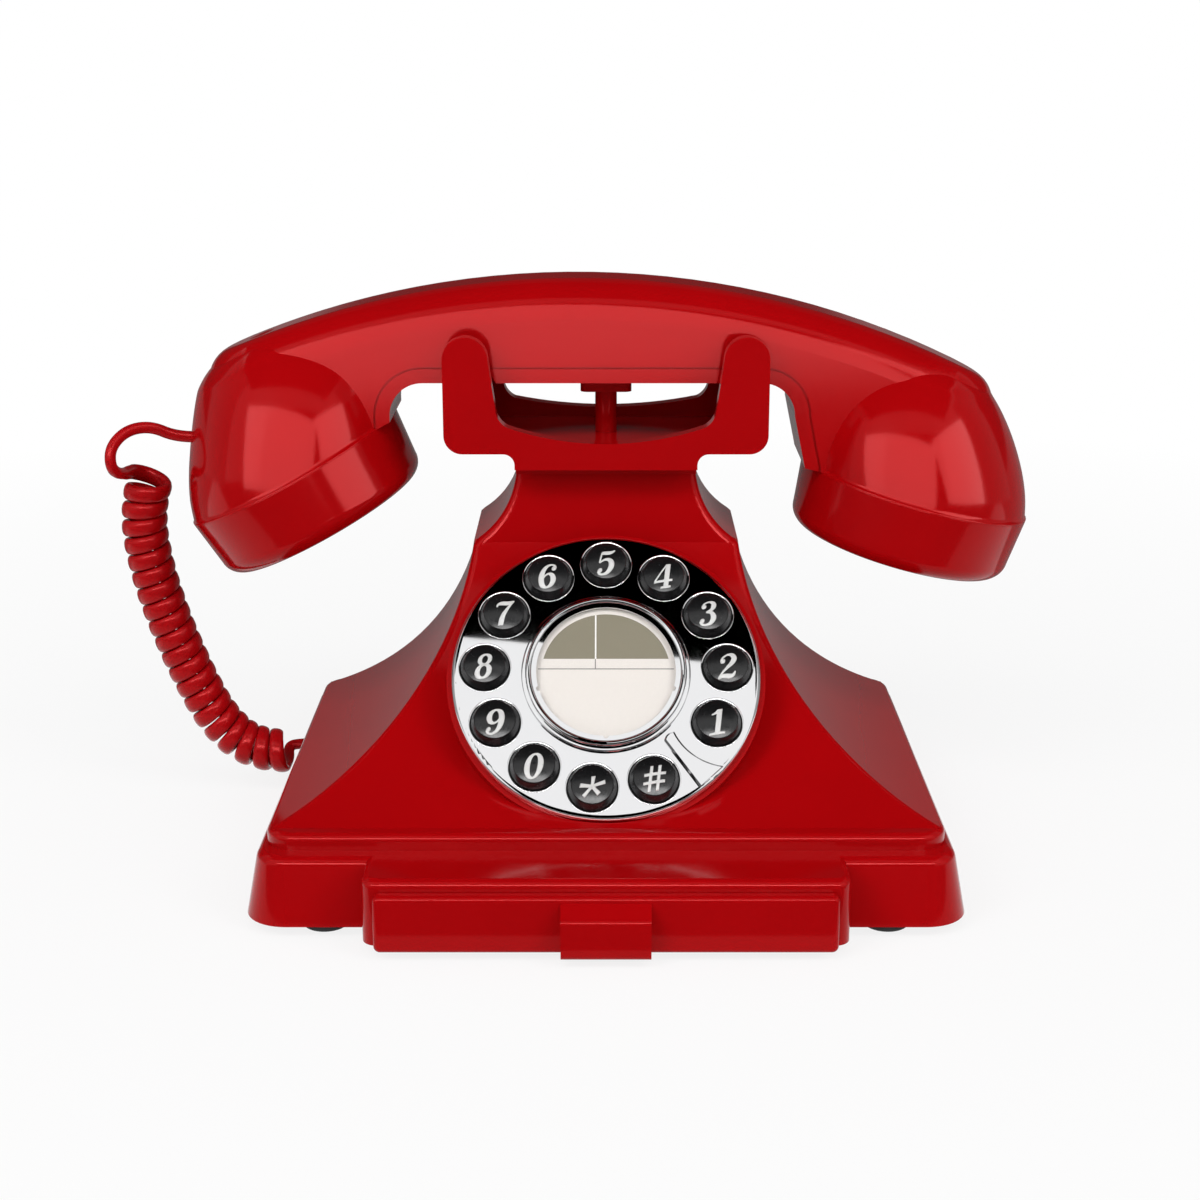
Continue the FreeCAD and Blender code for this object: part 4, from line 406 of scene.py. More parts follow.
def relief(tree, source, shader, strength, depth):
    """A fine bump from a noise."""
    bump = tree.nodes.new("ShaderNodeBump")
    bump.inputs["Strength"].default_value = strength
    bump.inputs["Distance"].default_value = depth
    tree.links.new(source.outputs["Fac"], bump.inputs["Height"])
    tree.links.new(bump.outputs["Normal"], shader.inputs["Normal"])


def moulded_finish(name, colour, gleam, gloss, grain_size, swell):
    """Glossy plastic with a slight wander of colour and gloss, and the faint swell of a polished mould."""
    material, shader = new_finish(name)
    tree = material.node_tree
    broad = grain(tree, size=0.030)
    fine = grain(tree, grain_size, detail=3.0)
    vary_colour(tree, broad, shader, colour, wander=0.03)
    vary_gloss(tree, fine, shader, gloss)
    relief(tree, broad, shader, strength=0.05, depth=swell)
    shader.inputs["Specular Tint"].default_value = (*gleam, 1.0)
    shader.inputs["IOR"].default_value = 1.46
    return material


def grained_finish(name, colour, roughness, grain_size, depth, wander, metal=0.0):
    """A finish with fine grain in its colour, roughness and surface."""
    material, shader = new_finish(name)
    tree = material.node_tree
    fine = grain(tree, grain_size, detail=3.0)
    vary_colour(tree, fine, shader, colour, wander)
    vary_gloss(tree, fine, shader, roughness)
    relief(tree, fine, shader, strength=0.15, depth=depth)
    shader.inputs["Metallic"].default_value = metal
    return material


def chrome_finish(name, colour):
    """Mirror-bright plating with faint polishing haze."""
    material, shader = new_finish(name)
    tree = material.node_tree
    shader.inputs["Base Color"].default_value = (*colour, 1.0)
    shader.inputs["Metallic"].default_value = 1.0
    haze = grain(tree, size=0.012)
    vary(tree, haze, shader.inputs["Roughness"], low=0.012, high=0.03)
    relief(tree, haze, shader, strength=0.02, depth=0.0001)
    return material


def clear_finish(name, colour):
    """Clear polished plastic."""
    material, shader = new_finish(name)
    tree = material.node_tree
    shader.inputs["Base Color"].default_value = (*colour, 1.0)
    shader.inputs["Alpha"].default_value = 0.04
    shader.inputs["Specular IOR Level"].default_value = 0.12
    haze = grain(tree, size=0.008)
    vary(tree, haze, shader.inputs["Roughness"], low=0.02, high=0.06)
    return material


def dress(nodes, material):
    """Gives CAD nodes a finish."""
    for name in nodes:
        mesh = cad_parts[name].data
        mesh.materials.clear()
        mesh.materials.append(material)


def finish_of(node):
    """The finish that a CAD node wears."""
    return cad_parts[node].data.materials[0]


# Meshes

def link(thing):
    """Puts an object into the scene."""
    bpy.context.scene.collection.objects.link(thing)
    return thing


def mesh_piece(name, vertices, faces, material, smooth=True):
    """An object in the scene, from its points and faces."""
    mesh = bpy.data.meshes.new(name)
    mesh.from_pydata([tuple(vertex) for vertex in vertices], [], faces)
    mesh.materials.append(material)
    for face in mesh.polygons:
        face.use_smooth = smooth
    mesh.update()
    return link(bpy.data.objects.new(name, mesh))


def sheet(name, sides, material):
    """A flat rectangle about its own middle."""
    x = sides[0] / 2
    y = sides[1] / 2
    corners = [(-x, -y, 0.0), (x, -y, 0.0), (x, y, 0.0), (-x, y, 0.0)]
    return mesh_piece(name, corners, [(0, 1, 2, 3)], material, smooth=False)


def circle(radius, steps):
    """Points round a circle about the origin."""
    angles = [2 * math.pi * step / steps for step in range(steps)]
    return [(radius * math.cos(angle), radius * math.sin(angle)) for angle in angles]


def band_faces(rows, around):
    """Faces between rows of points that each go round once."""
    faces = []
    for row in range(rows - 1):
        for step in range(around):
            a = row * around + step
            b = row * around + (step + 1) % around
            faces.append((a, b, b + around, a + around))
    return faces


def spline_points(name, route, steps):
    """Points along the smooth spline that a route controls."""
    curve = bpy.data.curves.new(name, "CURVE")
    curve.dimensions = "3D"
    curve.resolution_u = steps
    spline = curve.splines.new("NURBS")
    spline.points.add(len(route) - 1)
    for point, place in zip(spline.points, route):
        point.co = (*place, 1.0)
    spline.order_u = 3
    spline.use_endpoint_u = True
    holder = link(bpy.data.objects.new(name, curve))
    bpy.context.view_layer.update()
    mesh = bpy.data.meshes.new_from_object(holder)
    points = [vertex.co.copy() for vertex in mesh.vertices]
    bpy.data.meshes.remove(mesh)
    bpy.data.objects.remove(holder)
    bpy.data.curves.remove(curve)
    return points


def in_metres(route):
    """A route in millimetres as points in metres."""
    return [Vector(point) * MM for point in route]


def lengths_along(points):
    """The distance of each point from the first, along the line."""
    total = [0.0]
    for before, after in zip(points, points[1:]):
        total.append(total[-1] + (after - before).length)
    return total


def at_length(points, total, wanted):
    """The place and heading at a distance along a line of points."""
    low = 0
    high = len(total) - 1
    while high - low > 1:
        middle = (low + high) // 2
        if total[middle] <= wanted:
            low = middle
        else:
            high = middle
    span = points[high] - points[low]
    share = (wanted - total[low]) / max(total[high] - total[low], 1e-12)
    return points[low] + span * share, span.normalized()


def headings(path):
    """The heading of a line at each of its points."""
    last = len(path) - 1
    return [(path[min(i + 1, last)] - path[max(i - 1, 0)]).normalized() for i in range(len(path))]


def carried(path, out):
    """A direction across the start of a line, carried along it without twist."""
    across = []
    for along in headings(path):
        out = (out - along * out.dot(along)).normalized()
        across.append(out)
    return across


def oval_section(thickness, around):
    """Points round a flat section with full sides, as (out, share of the half-width aside) pairs."""
    fullness = 0.85
    rim = []
    for x, y in circle(1.0, around):
        out = math.copysign(abs(x) ** fullness, x)
        aside = math.copysign(abs(y) ** fullness, y)
        rim.append((out * thickness / 2, aside))
    return rim


def tube_mesh(name, path, across, widths, section, material):
    """A closed tube along a line of points; across points out of the flat of the section at each."""
    around = len(section)
    vertices = []
    for place, along, out, width in zip(path, headings(path), across, widths):
        out = (out - along * out.dot(along)).normalized()
        side = along.cross(out) * (width / 2)
        vertices += [place + out * x + side * y for x, y in section]
    faces = band_faces(len(path), around)
    faces.append(tuple(reversed(range(around))))
    faces.append(tuple(range(len(vertices) - around, len(vertices))))
    return mesh_piece(name, vertices, faces, material)


def dial_matrix(dial):
    """From the dial's own frame, across, up the slope and out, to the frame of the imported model."""
    return Matrix.Translation(Vector(dial.centre)) @ Matrix.Rotation(dial.tilt, 4, "X")


def key_middle(name, to_dial):
    """The middle of a CAD key, in the dial's own frame."""
    local = [to_dial @ vertex.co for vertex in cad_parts["key_" + name].data.vertices]
    return Vector(((min(v.x for v in local) + max(v.x for v in local)) / 2,
                   (min(v.y for v in local) + max(v.y for v in local)) / 2))


def key_surface(name):
    """A CAD key as something that can be met by a ray."""
    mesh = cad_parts["key_" + name].data
    vertices = [vertex.co.copy() for vertex in mesh.vertices]
    return BVHTree.FromPolygons(vertices, [tuple(face.vertices) for face in mesh.polygons])


# Figures on the keys, as pen strokes of (across, up, half-width) in shares of the figure's height

def oval(x, y, reach_x, reach_y, thin, thick, steps=24):
    """A closed stroke, thick at its sides and thin at its top and foot."""
    contrast = 1.5
    stroke = []
    for step in range(steps + 1):
        angle = 2 * math.pi * step / steps
        width = thin + (thick - thin) * abs(math.cos(angle)) ** contrast
        stroke.append((x + reach_x * math.cos(angle), y + reach_y * math.sin(angle), width))
    return stroke


def star_arm(turn):
    """A stroke from the middle of the star that widens outwards."""
    radii = ((0.0, 0.050), (0.17, 0.056), (0.40, 0.070))
    return [(radius * math.sin(turn), 0.5 + radius * math.cos(turn), width) for radius, width in radii]


SIX = [
    [(0.20, 0.80, 0.050), (0.15, 0.92, 0.036), (0.03, 0.965, 0.034), (-0.11, 0.87, 0.066),
     (-0.195, 0.66, 0.092), (-0.205, 0.38, 0.098), (-0.14, 0.14, 0.078), (0.0, 0.036, 0.036),
     (0.135, 0.13, 0.076), (0.18, 0.31, 0.095), (0.125, 0.50, 0.072), (0.01, 0.575, 0.038),
     (-0.10, 0.51, 0.032), (-0.15, 0.40, 0.03)],
]
FIGURES = {
    "0": [oval(0.0, 0.5, 0.205, 0.462, 0.036, 0.098)],
    "1": [
        [(0.035, 0.05, 0.092), (0.035, 0.35, 0.092), (0.035, 0.70, 0.092), (0.035, 0.99, 0.092)],
        [(-0.20, 0.795, 0.022), (-0.11, 0.825, 0.038), (-0.02, 0.90, 0.058), (0.03, 0.965, 0.034)],
        [(-0.21, 0.034, 0.034), (0.0, 0.038, 0.042), (0.10, 0.038, 0.042), (0.28, 0.034, 0.034)],
    ],
    "2": [
        [(-0.225, 0.70, 0.045), (-0.20, 0.84, 0.038), (-0.06, 0.962, 0.036), (0.09, 0.925, 0.070),
         (0.165, 0.77, 0.096), (0.115, 0.60, 0.086), (-0.03, 0.41, 0.052), (-0.17, 0.23, 0.034),
         (-0.25, 0.06, 0.03)],
        [(-0.26, 0.05, 0.040), (-0.17, 0.12, 0.064), (-0.03, 0.105, 0.074), (0.10, 0.075, 0.076),
         (0.20, 0.11, 0.056), (0.25, 0.25, 0.026)],
    ],
    "3": [
        [(-0.20, 0.78, 0.045), (-0.15, 0.91, 0.034), (-0.01, 0.966, 0.032), (0.115, 0.90, 0.070),
         (0.15, 0.765, 0.088), (0.085, 0.61, 0.058), (-0.07, 0.535, 0.028)],
        [(-0.07, 0.535, 0.028), (0.10, 0.485, 0.058), (0.185, 0.29, 0.098), (0.125, 0.10, 0.076),
         (-0.02, 0.034, 0.034), (-0.16, 0.085, 0.038), (-0.215, 0.20, 0.048)],
    ],
    "4": [
        [(0.06, 0.985, 0.026), (-0.10, 0.66, 0.028), (-0.27, 0.31, 0.030)],
        [(-0.295, 0.285, 0.040), (0.0, 0.285, 0.040), (0.29, 0.285, 0.040)],
        [(0.10, 0.04, 0.088), (0.10, 0.35, 0.088), (0.10, 0.70, 0.088), (0.10, 0.99, 0.080)],
        [(-0.06, 0.032, 0.032), (0.10, 0.036, 0.040), (0.26, 0.032, 0.032)],
    ],
    "5": [
        [(-0.17, 0.925, 0.056), (-0.06, 0.915, 0.066), (0.07, 0.90, 0.066), (0.17, 0.935, 0.046),
         (0.235, 1.0, 0.02)],
        [(-0.165, 0.95, 0.028), (-0.185, 0.74, 0.028), (-0.205, 0.52, 0.030)],
        [(-0.205, 0.525, 0.03), (-0.07, 0.615, 0.04), (0.07, 0.605, 0.058), (0.17, 0.47, 0.092),
         (0.18, 0.28, 0.098), (0.09, 0.09, 0.070), (-0.05, 0.032, 0.034), (-0.165, 0.075, 0.038),
         (-0.215, 0.19, 0.048)],
    ],
    "6": SIX,
    "7": [
        [(-0.245, 0.80, 0.022), (-0.215, 0.905, 0.046), (-0.09, 0.925, 0.072), (0.08, 0.895, 0.074),
         (0.23, 0.945, 0.044), (0.26, 0.985, 0.02)],
        [(0.235, 0.935, 0.030), (0.09, 0.64, 0.056), (-0.015, 0.36, 0.086), (-0.05, 0.02, 0.098)],
    ],
    "8": [oval(0.0, 0.755, 0.155, 0.207, 0.036, 0.074), oval(0.0, 0.282, 0.185, 0.248, 0.036, 0.090)],
    "9": [[(-x, 1.0 - y, width) for x, y, width in stroke] for stroke in SIX],
    "star": [star_arm(2 * math.pi * arm / 5) for arm in range(5)],
    "hash": [
        [(-0.115, 0.0, 0.052), (-0.115, 0.5, 0.052), (-0.115, 1.0, 0.052)],
        [(0.135, 0.0, 0.052), (0.135, 0.5, 0.052), (0.135, 1.0, 0.052)],
        [(-0.32, 0.34, 0.050), (0.0, 0.34, 0.050), (0.34, 0.34, 0.050)],
        [(-0.32, 0.66, 0.050), (0.0, 0.66, 0.050), (0.34, 0.66, 0.050)],
    ],
}
# The round ends of some strokes, as (across, up), and their radius
BALLS = {
    "2": [(-0.175, 0.705)],
    "3": [(-0.155, 0.775), (-0.165, 0.205)],
    "5": [(-0.165, 0.20)],
    "6": [(0.155, 0.785)],
    "9": [(-0.155, 0.215)],
}
BALL_RADIUS = 0.082


def between(p, q, r, s, t):
    """A value at share t of the smooth line from q to r, which comes from p and goes on to s."""
    bend = 2 * p - 5 * q + 4 * r - s
    twist = 3 * q - p - 3 * r + s
    return 0.5 * (2 * q + (r - p) * t + bend * t ** 2 + twist * t ** 3)


def smooth_stroke(stroke, steps):
    """A stroke with points added on a smooth line through its own."""
    ends = [stroke[0]] + list(stroke) + [stroke[-1]]
    dense = []
    for corners in zip(ends, ends[1:], ends[2:], ends[3:]):
        for step in range(steps):
            dense.append(tuple(between(*values, step / steps) for values in zip(*corners)))
    dense.append(tuple(stroke[-1]))
    return dense


def add_ribbon(vertices, faces, stroke, columns):
    """A flat ribbon along a stroke, divided across so that it can lie on a dome."""
    first = len(vertices)
    count = len(stroke)
    for index, (x, y, width) in enumerate(stroke):
        before = stroke[max(index - 1, 0)]
        after = stroke[min(index + 1, count - 1)]
        heading = Vector((after[0] - before[0], after[1] - before[1])).normalized()
        for column in range(columns + 1):
            off = width * (2 * column / columns - 1)
            vertices.append((x - heading.y * off, y + heading.x * off))
    row = columns + 1
    for index in range(count - 1):
        for column in range(columns):
            a = first + index * row + column
            faces.append((a + 1, a, a + row, a + row + 1))


def add_disc(vertices, faces, x, y, radius, around=20):
    """A flat disc, as the round end of a stroke."""
    first = len(vertices)
    vertices.append((x, y))
    vertices += [(x + across, y + up) for across, up in circle(radius, around)]
    for step in range(around):
        faces.append((first, first + 1 + step, first + 1 + (step + 1) % around))


# Operators

class TELEPHONE_OT_cord(bpy.types.Operator):
    """Makes the handset cord, curled from its lead to its plug"""

    bl_idname = "telephone.cord"
    bl_label = "Curl Cord"

    def execute(self, context):
        settings = context.scene.desk_telephone
        cord = settings.cord
        plastic = settings.plastic
        jacket = moulded_finish("red_cord_jacket", plastic.cord_red, plastic.gleam, gloss=0.22,
                                grain_size=0.0005, swell=0.00006)
        curls, spokes = self.curls(cord)
        before = headings(curls)[0]
        after = headings(curls)[-1]
        join = curls[0] - before * cord.first_run
        route = in_metres(LEAD_ROUTE) + [join - before * cord.lead_run, join]
        lead = spline_points("lead_route", route, END_STEPS)
        route = [curls[-1], curls[-1] + after * cord.lead_run] + in_metres(TAIL_ROUTE)
        tail = spline_points("tail_route", route, END_STEPS)[1:]
        path = lead + curls + tail
        across = carried(list(reversed(lead)), spokes[0])[::-1] + spokes + carried(tail, spokes[-1])
        widths = [cord.end_width] * len(lead) + self.widths(cord, curls) + [cord.end_width] * len(tail)
        section = oval_section(cord.thickness, around=16)
        piece = tube_mesh("handset_cord", path, across, self.eased(widths), section, jacket)
        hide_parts("cord_lead", "curly_cord")
        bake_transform(piece)
        return {"FINISHED"}

    def curls(self, cord):
        """Points on the curls about their smooth axis, and at each the spoke that points away from it."""
        axis = spline_points("curl_route", in_metres(CURL_ROUTE), AXIS_STEPS)
        total = lengths_along(axis)
        full = (cord.curl - cord.thickness) / 2
        pitch = total[-1] / cord.turns
        out = Vector((-1.0, 0.0, 0.0))
        points = []
        spokes = []
        for step in range(cord.turns * CURL_STEPS + 1):
            turn = step / CURL_STEPS
            centre, ahead = at_length(axis, total, min(pitch * turn, total[-1]))
            out = (out - ahead * out.dot(ahead)).normalized()
            side = ahead.cross(out)
            angle = 2 * math.pi * turn
            spoke = out * math.cos(angle) + side * math.sin(angle)
            points.append(centre + spoke * (full + cord.flare * max(0.0, 1.0 - turn) ** 2))
            spokes.append(spoke)
        return points, spokes

    def widths(self, cord, curls):
        """The jacket's width along the curls, less where a bend brings two turns together."""
        last = len(curls) - 1
        found = []
        for index, place in enumerate(curls):
            turns = [other for other in (index - CURL_STEPS, index + CURL_STEPS) if 0 <= other <= last]
            near = min((curls[other] - place).length for other in turns)
            found.append(min(cord.width, near * cord.closeness))
        return found

    def eased(self, widths):
        """The same widths with their steps spread out."""
        for _ in range(EASE_ROUNDS):
            before = widths[:1] + widths[:-1]
            after = widths[1:] + widths[-1:]
            widths = [(a + 2 * b + c) / 4 for a, b, c in zip(before, widths, after)]
        return widths


class TELEPHONE_OT_mouldings(bpy.types.Operator):
    """Gives the red, black and hidden mouldings their finishes"""

    bl_idname = "telephone.mouldings"
    bl_label = "Finish Mouldings"

    def execute(self, context):
        plastic = context.scene.desk_telephone.plastic
        red = moulded_finish("red_gloss_plastic", plastic.red, plastic.gleam, gloss=plastic.gloss,
                             grain_size=0.0012, swell=0.0004)
        dress(BODY_MOULDINGS + HANDSET_MOULDINGS, red)
        gland = moulded_finish("red_gland", plastic.cord_red, plastic.gleam, gloss=0.35,
                               grain_size=0.0006, swell=0.0001)
        dress(["cord_gland"], gland)
        inner = grained_finish("black_base_plastic", plastic.inner_black, roughness=0.48,
                               grain_size=0.0007, depth=0.00008, wander=0.12)
        dress(INNER_MOULDINGS, inner)
        plug = grained_finish("pale_plug_plastic", plastic.plug, roughness=0.18,
                              grain_size=0.002, depth=0.00002, wander=0.03)
        dress(["cord_plug"], plug)
        rubber = grained_finish("black_rubber", plastic.rubber, roughness=0.78,
                                grain_size=0.0005, depth=0.00012, wander=0.2)
        dress(["feet", "keypad_mat"], rubber)
        board = grained_finish("green_board", plastic.board, roughness=0.42,
                               grain_size=0.0015, depth=0.00003, wander=0.1)
        dress(["main_board", "keypad_board"], board)
        return {"FINISHED"}


class TELEPHONE_OT_bells(bpy.types.Operator):
    """Lays a smooth skin over each of the handset's two domes, after the mouldings have their finish"""

    bl_idname = "telephone.bells"
    bl_label = "Fill Bells"

    def execute(self, context):
        bells = context.scene.desk_telephone.bells
        ear = Matrix.Translation(Vector(bells.ear_seam)) @ Matrix.Rotation(bells.ear_tilt, 4, "Y")
        mouth = Matrix.Translation(Vector(bells.mouth_seam)) @ Matrix.Rotation(bells.mouth_tilt, 4, "Y")
        self.bell(BELLS[0], bells, ear, bells.ear_inner, bells.ear_outer, inward=1.0)
        self.bell(BELLS[1], bells, mouth, bells.mouth_inner, bells.mouth_outer, inward=-1.0)
        return {"FINISHED"}

    def bell(self, name, bells, to_model, inner_fill, outer_fill, inward):
        """A lip along the seam, then a side filled out towards an oval; inward is +1 or -1, along X."""
        around = 96
        rim = BELL_PROFILE[0][0] * MM
        profile = self.profile(bells, rim)
        vertices = []
        for radius, height in profile:
            full = rim * math.sqrt(max(0.0, 1.0 - (height / bells.height) ** 2))
            more = max(0.0, full - radius)
            for x, y in circle(1.0, around):
                inner = (1.0 + x) / 2
                reach = radius + more * (inner_fill * inner + outer_fill * (1.0 - inner))
                across = bells.lean * height + reach * x
                vertices.append(to_model @ Vector((inward * across, reach * y, height)))
        faces = band_faces(len(profile), around)
        faces.append(tuple(range(len(vertices) - around, len(vertices))))
        if inward < 0:
            faces = [face[::-1] for face in faces]
        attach(mesh_piece(name, vertices, faces, finish_of("handset_shell")), "handset")

    def profile(self, bells, rim):
        """The lip and the lean side, as (radius, height)."""
        lip_steps = 6
        lip = []
        for step in range(lip_steps):
            angle = math.pi * (step / lip_steps - 0.5)
            lip.append((rim + bells.lip * math.cos(angle), bells.lip * math.sin(angle)))
        side = [(radius * MM, height * MM) for radius, height in BELL_PROFILE]
        return lip + smooth_stroke(side, steps=4)


class TELEPHONE_OT_metalwork(bpy.types.Operator):
    """Gives the chrome, steel and iron their finishes"""

    bl_idname = "telephone.metalwork"
    bl_label = "Finish Metalwork"

    def execute(self, context):
        metal = context.scene.desk_telephone.metal
        dress(CHROME_PIECES, chrome_finish("bright_chrome", metal.chrome))
        steel = grained_finish("zinc_plated_steel", metal.steel, roughness=0.32,
                               grain_size=0.0006, depth=0.00003, wander=0.08, metal=1.0)
        dress(STEEL_PIECES, steel)
        iron = grained_finish("raw_iron", metal.iron, roughness=0.62,
                              grain_size=0.0009, depth=0.0001, wander=0.25, metal=0.9)
        dress(["ballast_weight", "handset_weight"], iron)
        return {"FINISHED"}


class TELEPHONE_OT_hole_edges(bpy.types.Operator):
    """Rounds the edges of the key holes in the dial's plate, after the plate has its finish"""

    bl_idname = "telephone.hole_edges"
    bl_label = "Round Key Holes"

    def execute(self, context):
        dial = context.scene.desk_telephone.dial
        to_model = dial_matrix(dial)
        profile = self.profile(dial)
        row = len(profile)
        around = 56
        vertices = []
        faces = []
        for name in KEY_NAMES:
            middle = key_middle(name, to_model.inverted())
            first = len(vertices)
            for turn, (x, y) in enumerate(circle(1.0, around)):
                here = first + turn * row
                there = first + (turn + 1) % around * row
                for point, (radius, level) in enumerate(profile):
                    vertices.append(to_model @ Vector((middle.x + radius * x, middle.y + radius * y, level)))
                    after = (point + 1) % row
                    faces.append((here + point, there + point, there + after, here + after))
        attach(mesh_piece("key_hole_edges", vertices, faces, finish_of("dial_plate")), "base")
        return {"FINISHED"}

    def profile(self, dial):
        """The closed section of an edge, as (radius from the key's middle, level)."""
        steps = 7
        outer = dial.hole_radius + dial.hole_edge
        section = [(outer + EDGE_LAP, EDGE_LIFT)]
        for step in range(steps + 1):
            angle = math.pi / 2 * step / steps
            section.append((outer - dial.hole_edge * math.sin(angle),
                            EDGE_LIFT - dial.hole_edge * (1.0 - math.cos(angle))))
        section.append((outer + EDGE_LAP, -dial.hole_edge))
        return section


class TELEPHONE_OT_keys(bpy.types.Operator):
    """Finishes the keys and prints its figure on each"""

    bl_idname = "telephone.keys"
    bl_label = "Print Keys"

    def execute(self, context):
        settings = context.scene.desk_telephone
        dial = settings.dial
        black = moulded_finish("black_key_plastic", settings.plastic.black, WHITE, gloss=0.24,
                               grain_size=0.0008, swell=0.00005)
        dress(["key_" + name for name in KEY_NAMES], black)
        ink = grained_finish("white_ink", dial.white, roughness=0.38,
                             grain_size=0.0004, depth=0.00003, wander=0.03)
        to_model = dial_matrix(dial)
        down = (to_model.to_3x3() @ Vector((0.0, 0.0, -1.0))).normalized()
        for name in KEY_NAMES:
            points, faces = self.flat(dial, name)
            top = self.laid(dial, name, points, to_model, down)
            points, faces = self.rooted(top, faces, down * dial.figure_print * FIGURE_ROOT)
            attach(mesh_piece("figure_" + name, points, faces, ink), "key_" + name)
        return {"FINISHED"}

    def flat(self, dial, name):
        """The points and faces of a key's figure, still flat and upright."""
        points = []
        faces = []
        for stroke in FIGURES[name]:
            broad = [(x * dial.figure_breadth, y, width * dial.figure_weight) for x, y, width in stroke]
            add_ribbon(points, faces, smooth_stroke(broad, steps=6), columns=4)
        for x, y in BALLS.get(name, []):
            add_disc(points, faces, x * dial.figure_breadth, y, BALL_RADIUS * dial.figure_weight)
        return points, faces

    def laid(self, dial, name, points, to_model, down):
        """The points of a figure on the dome of its key, raised by the thickness of the print."""
        surface = key_surface(name)
        middle = key_middle(name, to_model.inverted()) - Vector((0.0, dial.figure_drop))
        slant = math.tan(dial.figure_slant)
        turn = Matrix.Rotation(dial.figure_turn, 2)
        top = []
        for x, y in points:
            level = y - 0.5
            spot = turn @ Vector((x + level * slant, level)) * dial.figure_height + middle
            hit = surface.ray_cast(to_model @ Vector((spot.x, spot.y, RAY_START)), down)[0]
            if hit is None:
                raise RuntimeError("the figure %s runs off its key" % name)
            top.append(hit - down * dial.figure_print)
        return top

    def rooted(self, top, faces, drop):
        """The points and faces of a print, with a wall along its rim that goes down into the key."""
        edges = [edge for face in faces for edge in zip(face, face[1:] + face[:1])]
        known = set(edges)
        rim = [(a, b) for a, b in edges if (b, a) not in known]
        points = list(top)
        low = {}
        for corner in [corner for edge in rim for corner in edge]:
            if corner not in low:
                low[corner] = len(points)
                points.append(top[corner] + drop)
        return points, faces + [(b, a, low[a], low[b]) for a, b in rim]


class TELEPHONE_OT_card(bpy.types.Operator):
    """Finishes the card under the dial's window, with its olive part and rules"""

    bl_idname = "telephone.card"
    bl_label = "Print Card"

    def execute(self, context):
        dial = context.scene.desk_telephone.dial
        paper = grained_finish("cream_card", dial.cream, roughness=0.62,
                               grain_size=0.0005, depth=0.00003, wander=0.02)
        olive = grained_finish("olive_print", dial.olive, roughness=0.5,
                               grain_size=0.0005, depth=0.00002, wander=0.05)
        pale = grained_finish("pale_rule", dial.pale_rule, roughness=0.5,
                              grain_size=0.0005, depth=0.00001, wander=0.02)
        grey = grained_finish("grey_rule", dial.grey_rule, roughness=0.5,
                              grain_size=0.0005, depth=0.00001, wander=0.02)
        dress(["label_card"], paper)
        dress(["label_window"], clear_finish("clear_window", dial.window))
        face = circle(dial.card_radius - FACE_MARGIN, steps=96)
        self.lay(dial, "card_face", face, paper, layer=1)
        self.lay(dial, "card_olive", self.segment(dial), olive, layer=2)
        rule = dial.rule_width
        low = dial.rule_level
        left = dial.divider
        reach = math.sqrt((dial.card_radius - dial.rule_margin) ** 2 - low ** 2)
        top = math.sqrt(dial.olive_radius ** 2 - left ** 2)
        pale_right = left + rule * dial.divider_weight
        lower = self.strip(-reach, reach, low, low + rule)
        self.lay(dial, "card_rule", lower, grey, layer=2)
        divider = self.strip(left, pale_right, dial.olive_level, top)
        self.lay(dial, "card_divider", divider, pale, layer=3)
        stub = self.strip(left, left + rule, low, dial.olive_level)
        self.lay(dial, "card_divider_low", stub, grey, layer=2)
        return {"FINISHED"}

    def segment(self, dial):
        """The outline of the olive part: a disc above a chord."""
        steps = 48
        radius = dial.olive_radius
        reach = math.acos(dial.olive_level / radius)
        angles = [reach - 2 * reach * step / steps for step in range(steps + 1)]
        return [(radius * math.sin(angle), radius * math.cos(angle)) for angle in angles]

    def strip(self, left, right, low, high):
        """The outline of a rule."""
        return [(left, low), (right, low), (right, high), (left, high)]

    def lay(self, dial, name, rim, material, layer):
        """A thin print on the card, closed round its rim."""
        to_model = dial_matrix(dial)
        count = len(rim)
        level = dial.card_level + PRINT_LAYER * layer
        vertices = [to_model @ Vector((x, y, level)) for x, y in rim]
        vertices += [to_model @ Vector((x, y, dial.card_level - PRINT_ROOT)) for x, y in rim]
        faces = [tuple(range(count)), tuple(reversed(range(count, 2 * count)))]
        for step in range(count):
            after = (step + 1) % count
            faces.append((after, step, step + count, after + count))
        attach(mesh_piece(name, vertices, faces, material, smooth=False), "base")


class TELEPHONE_OT_contacts(bpy.types.Operator):
    """Makes the spring contacts of the line socket"""

    bl_idname = "telephone.contacts"
    bl_label = "Bend Contacts"

    def execute(self, context):
        settings = context.scene.desk_telephone
        socket = settings.socket
        gilt = grained_finish("gilt_contact", settings.metal.gilt, roughness=0.25,
                              grain_size=0.0006, depth=0.00002, wander=0.05, metal=1.0)
        low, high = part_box("line_jack")
        middle = (low.x + high.x) / 2
        section = oval_section(socket.wire, around=8)
        for number in range(socket.contacts):
            x = middle + (number - (socket.contacts - 1) / 2) * socket.pitch
            route = [Vector((x, high.y - behind * MM, level * MM)) for behind, level in CONTACT_ROUTE]
            path = spline_points("contact_route", route, steps=6)
            across = carried(path, Vector((1.0, 0.0, 0.0)))
            widths = [socket.wire] * len(path)
            wire = tube_mesh("line_contact_%d" % number, path, across, widths, section, gilt)
            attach(wire, "base")
        return {"FINISHED"}


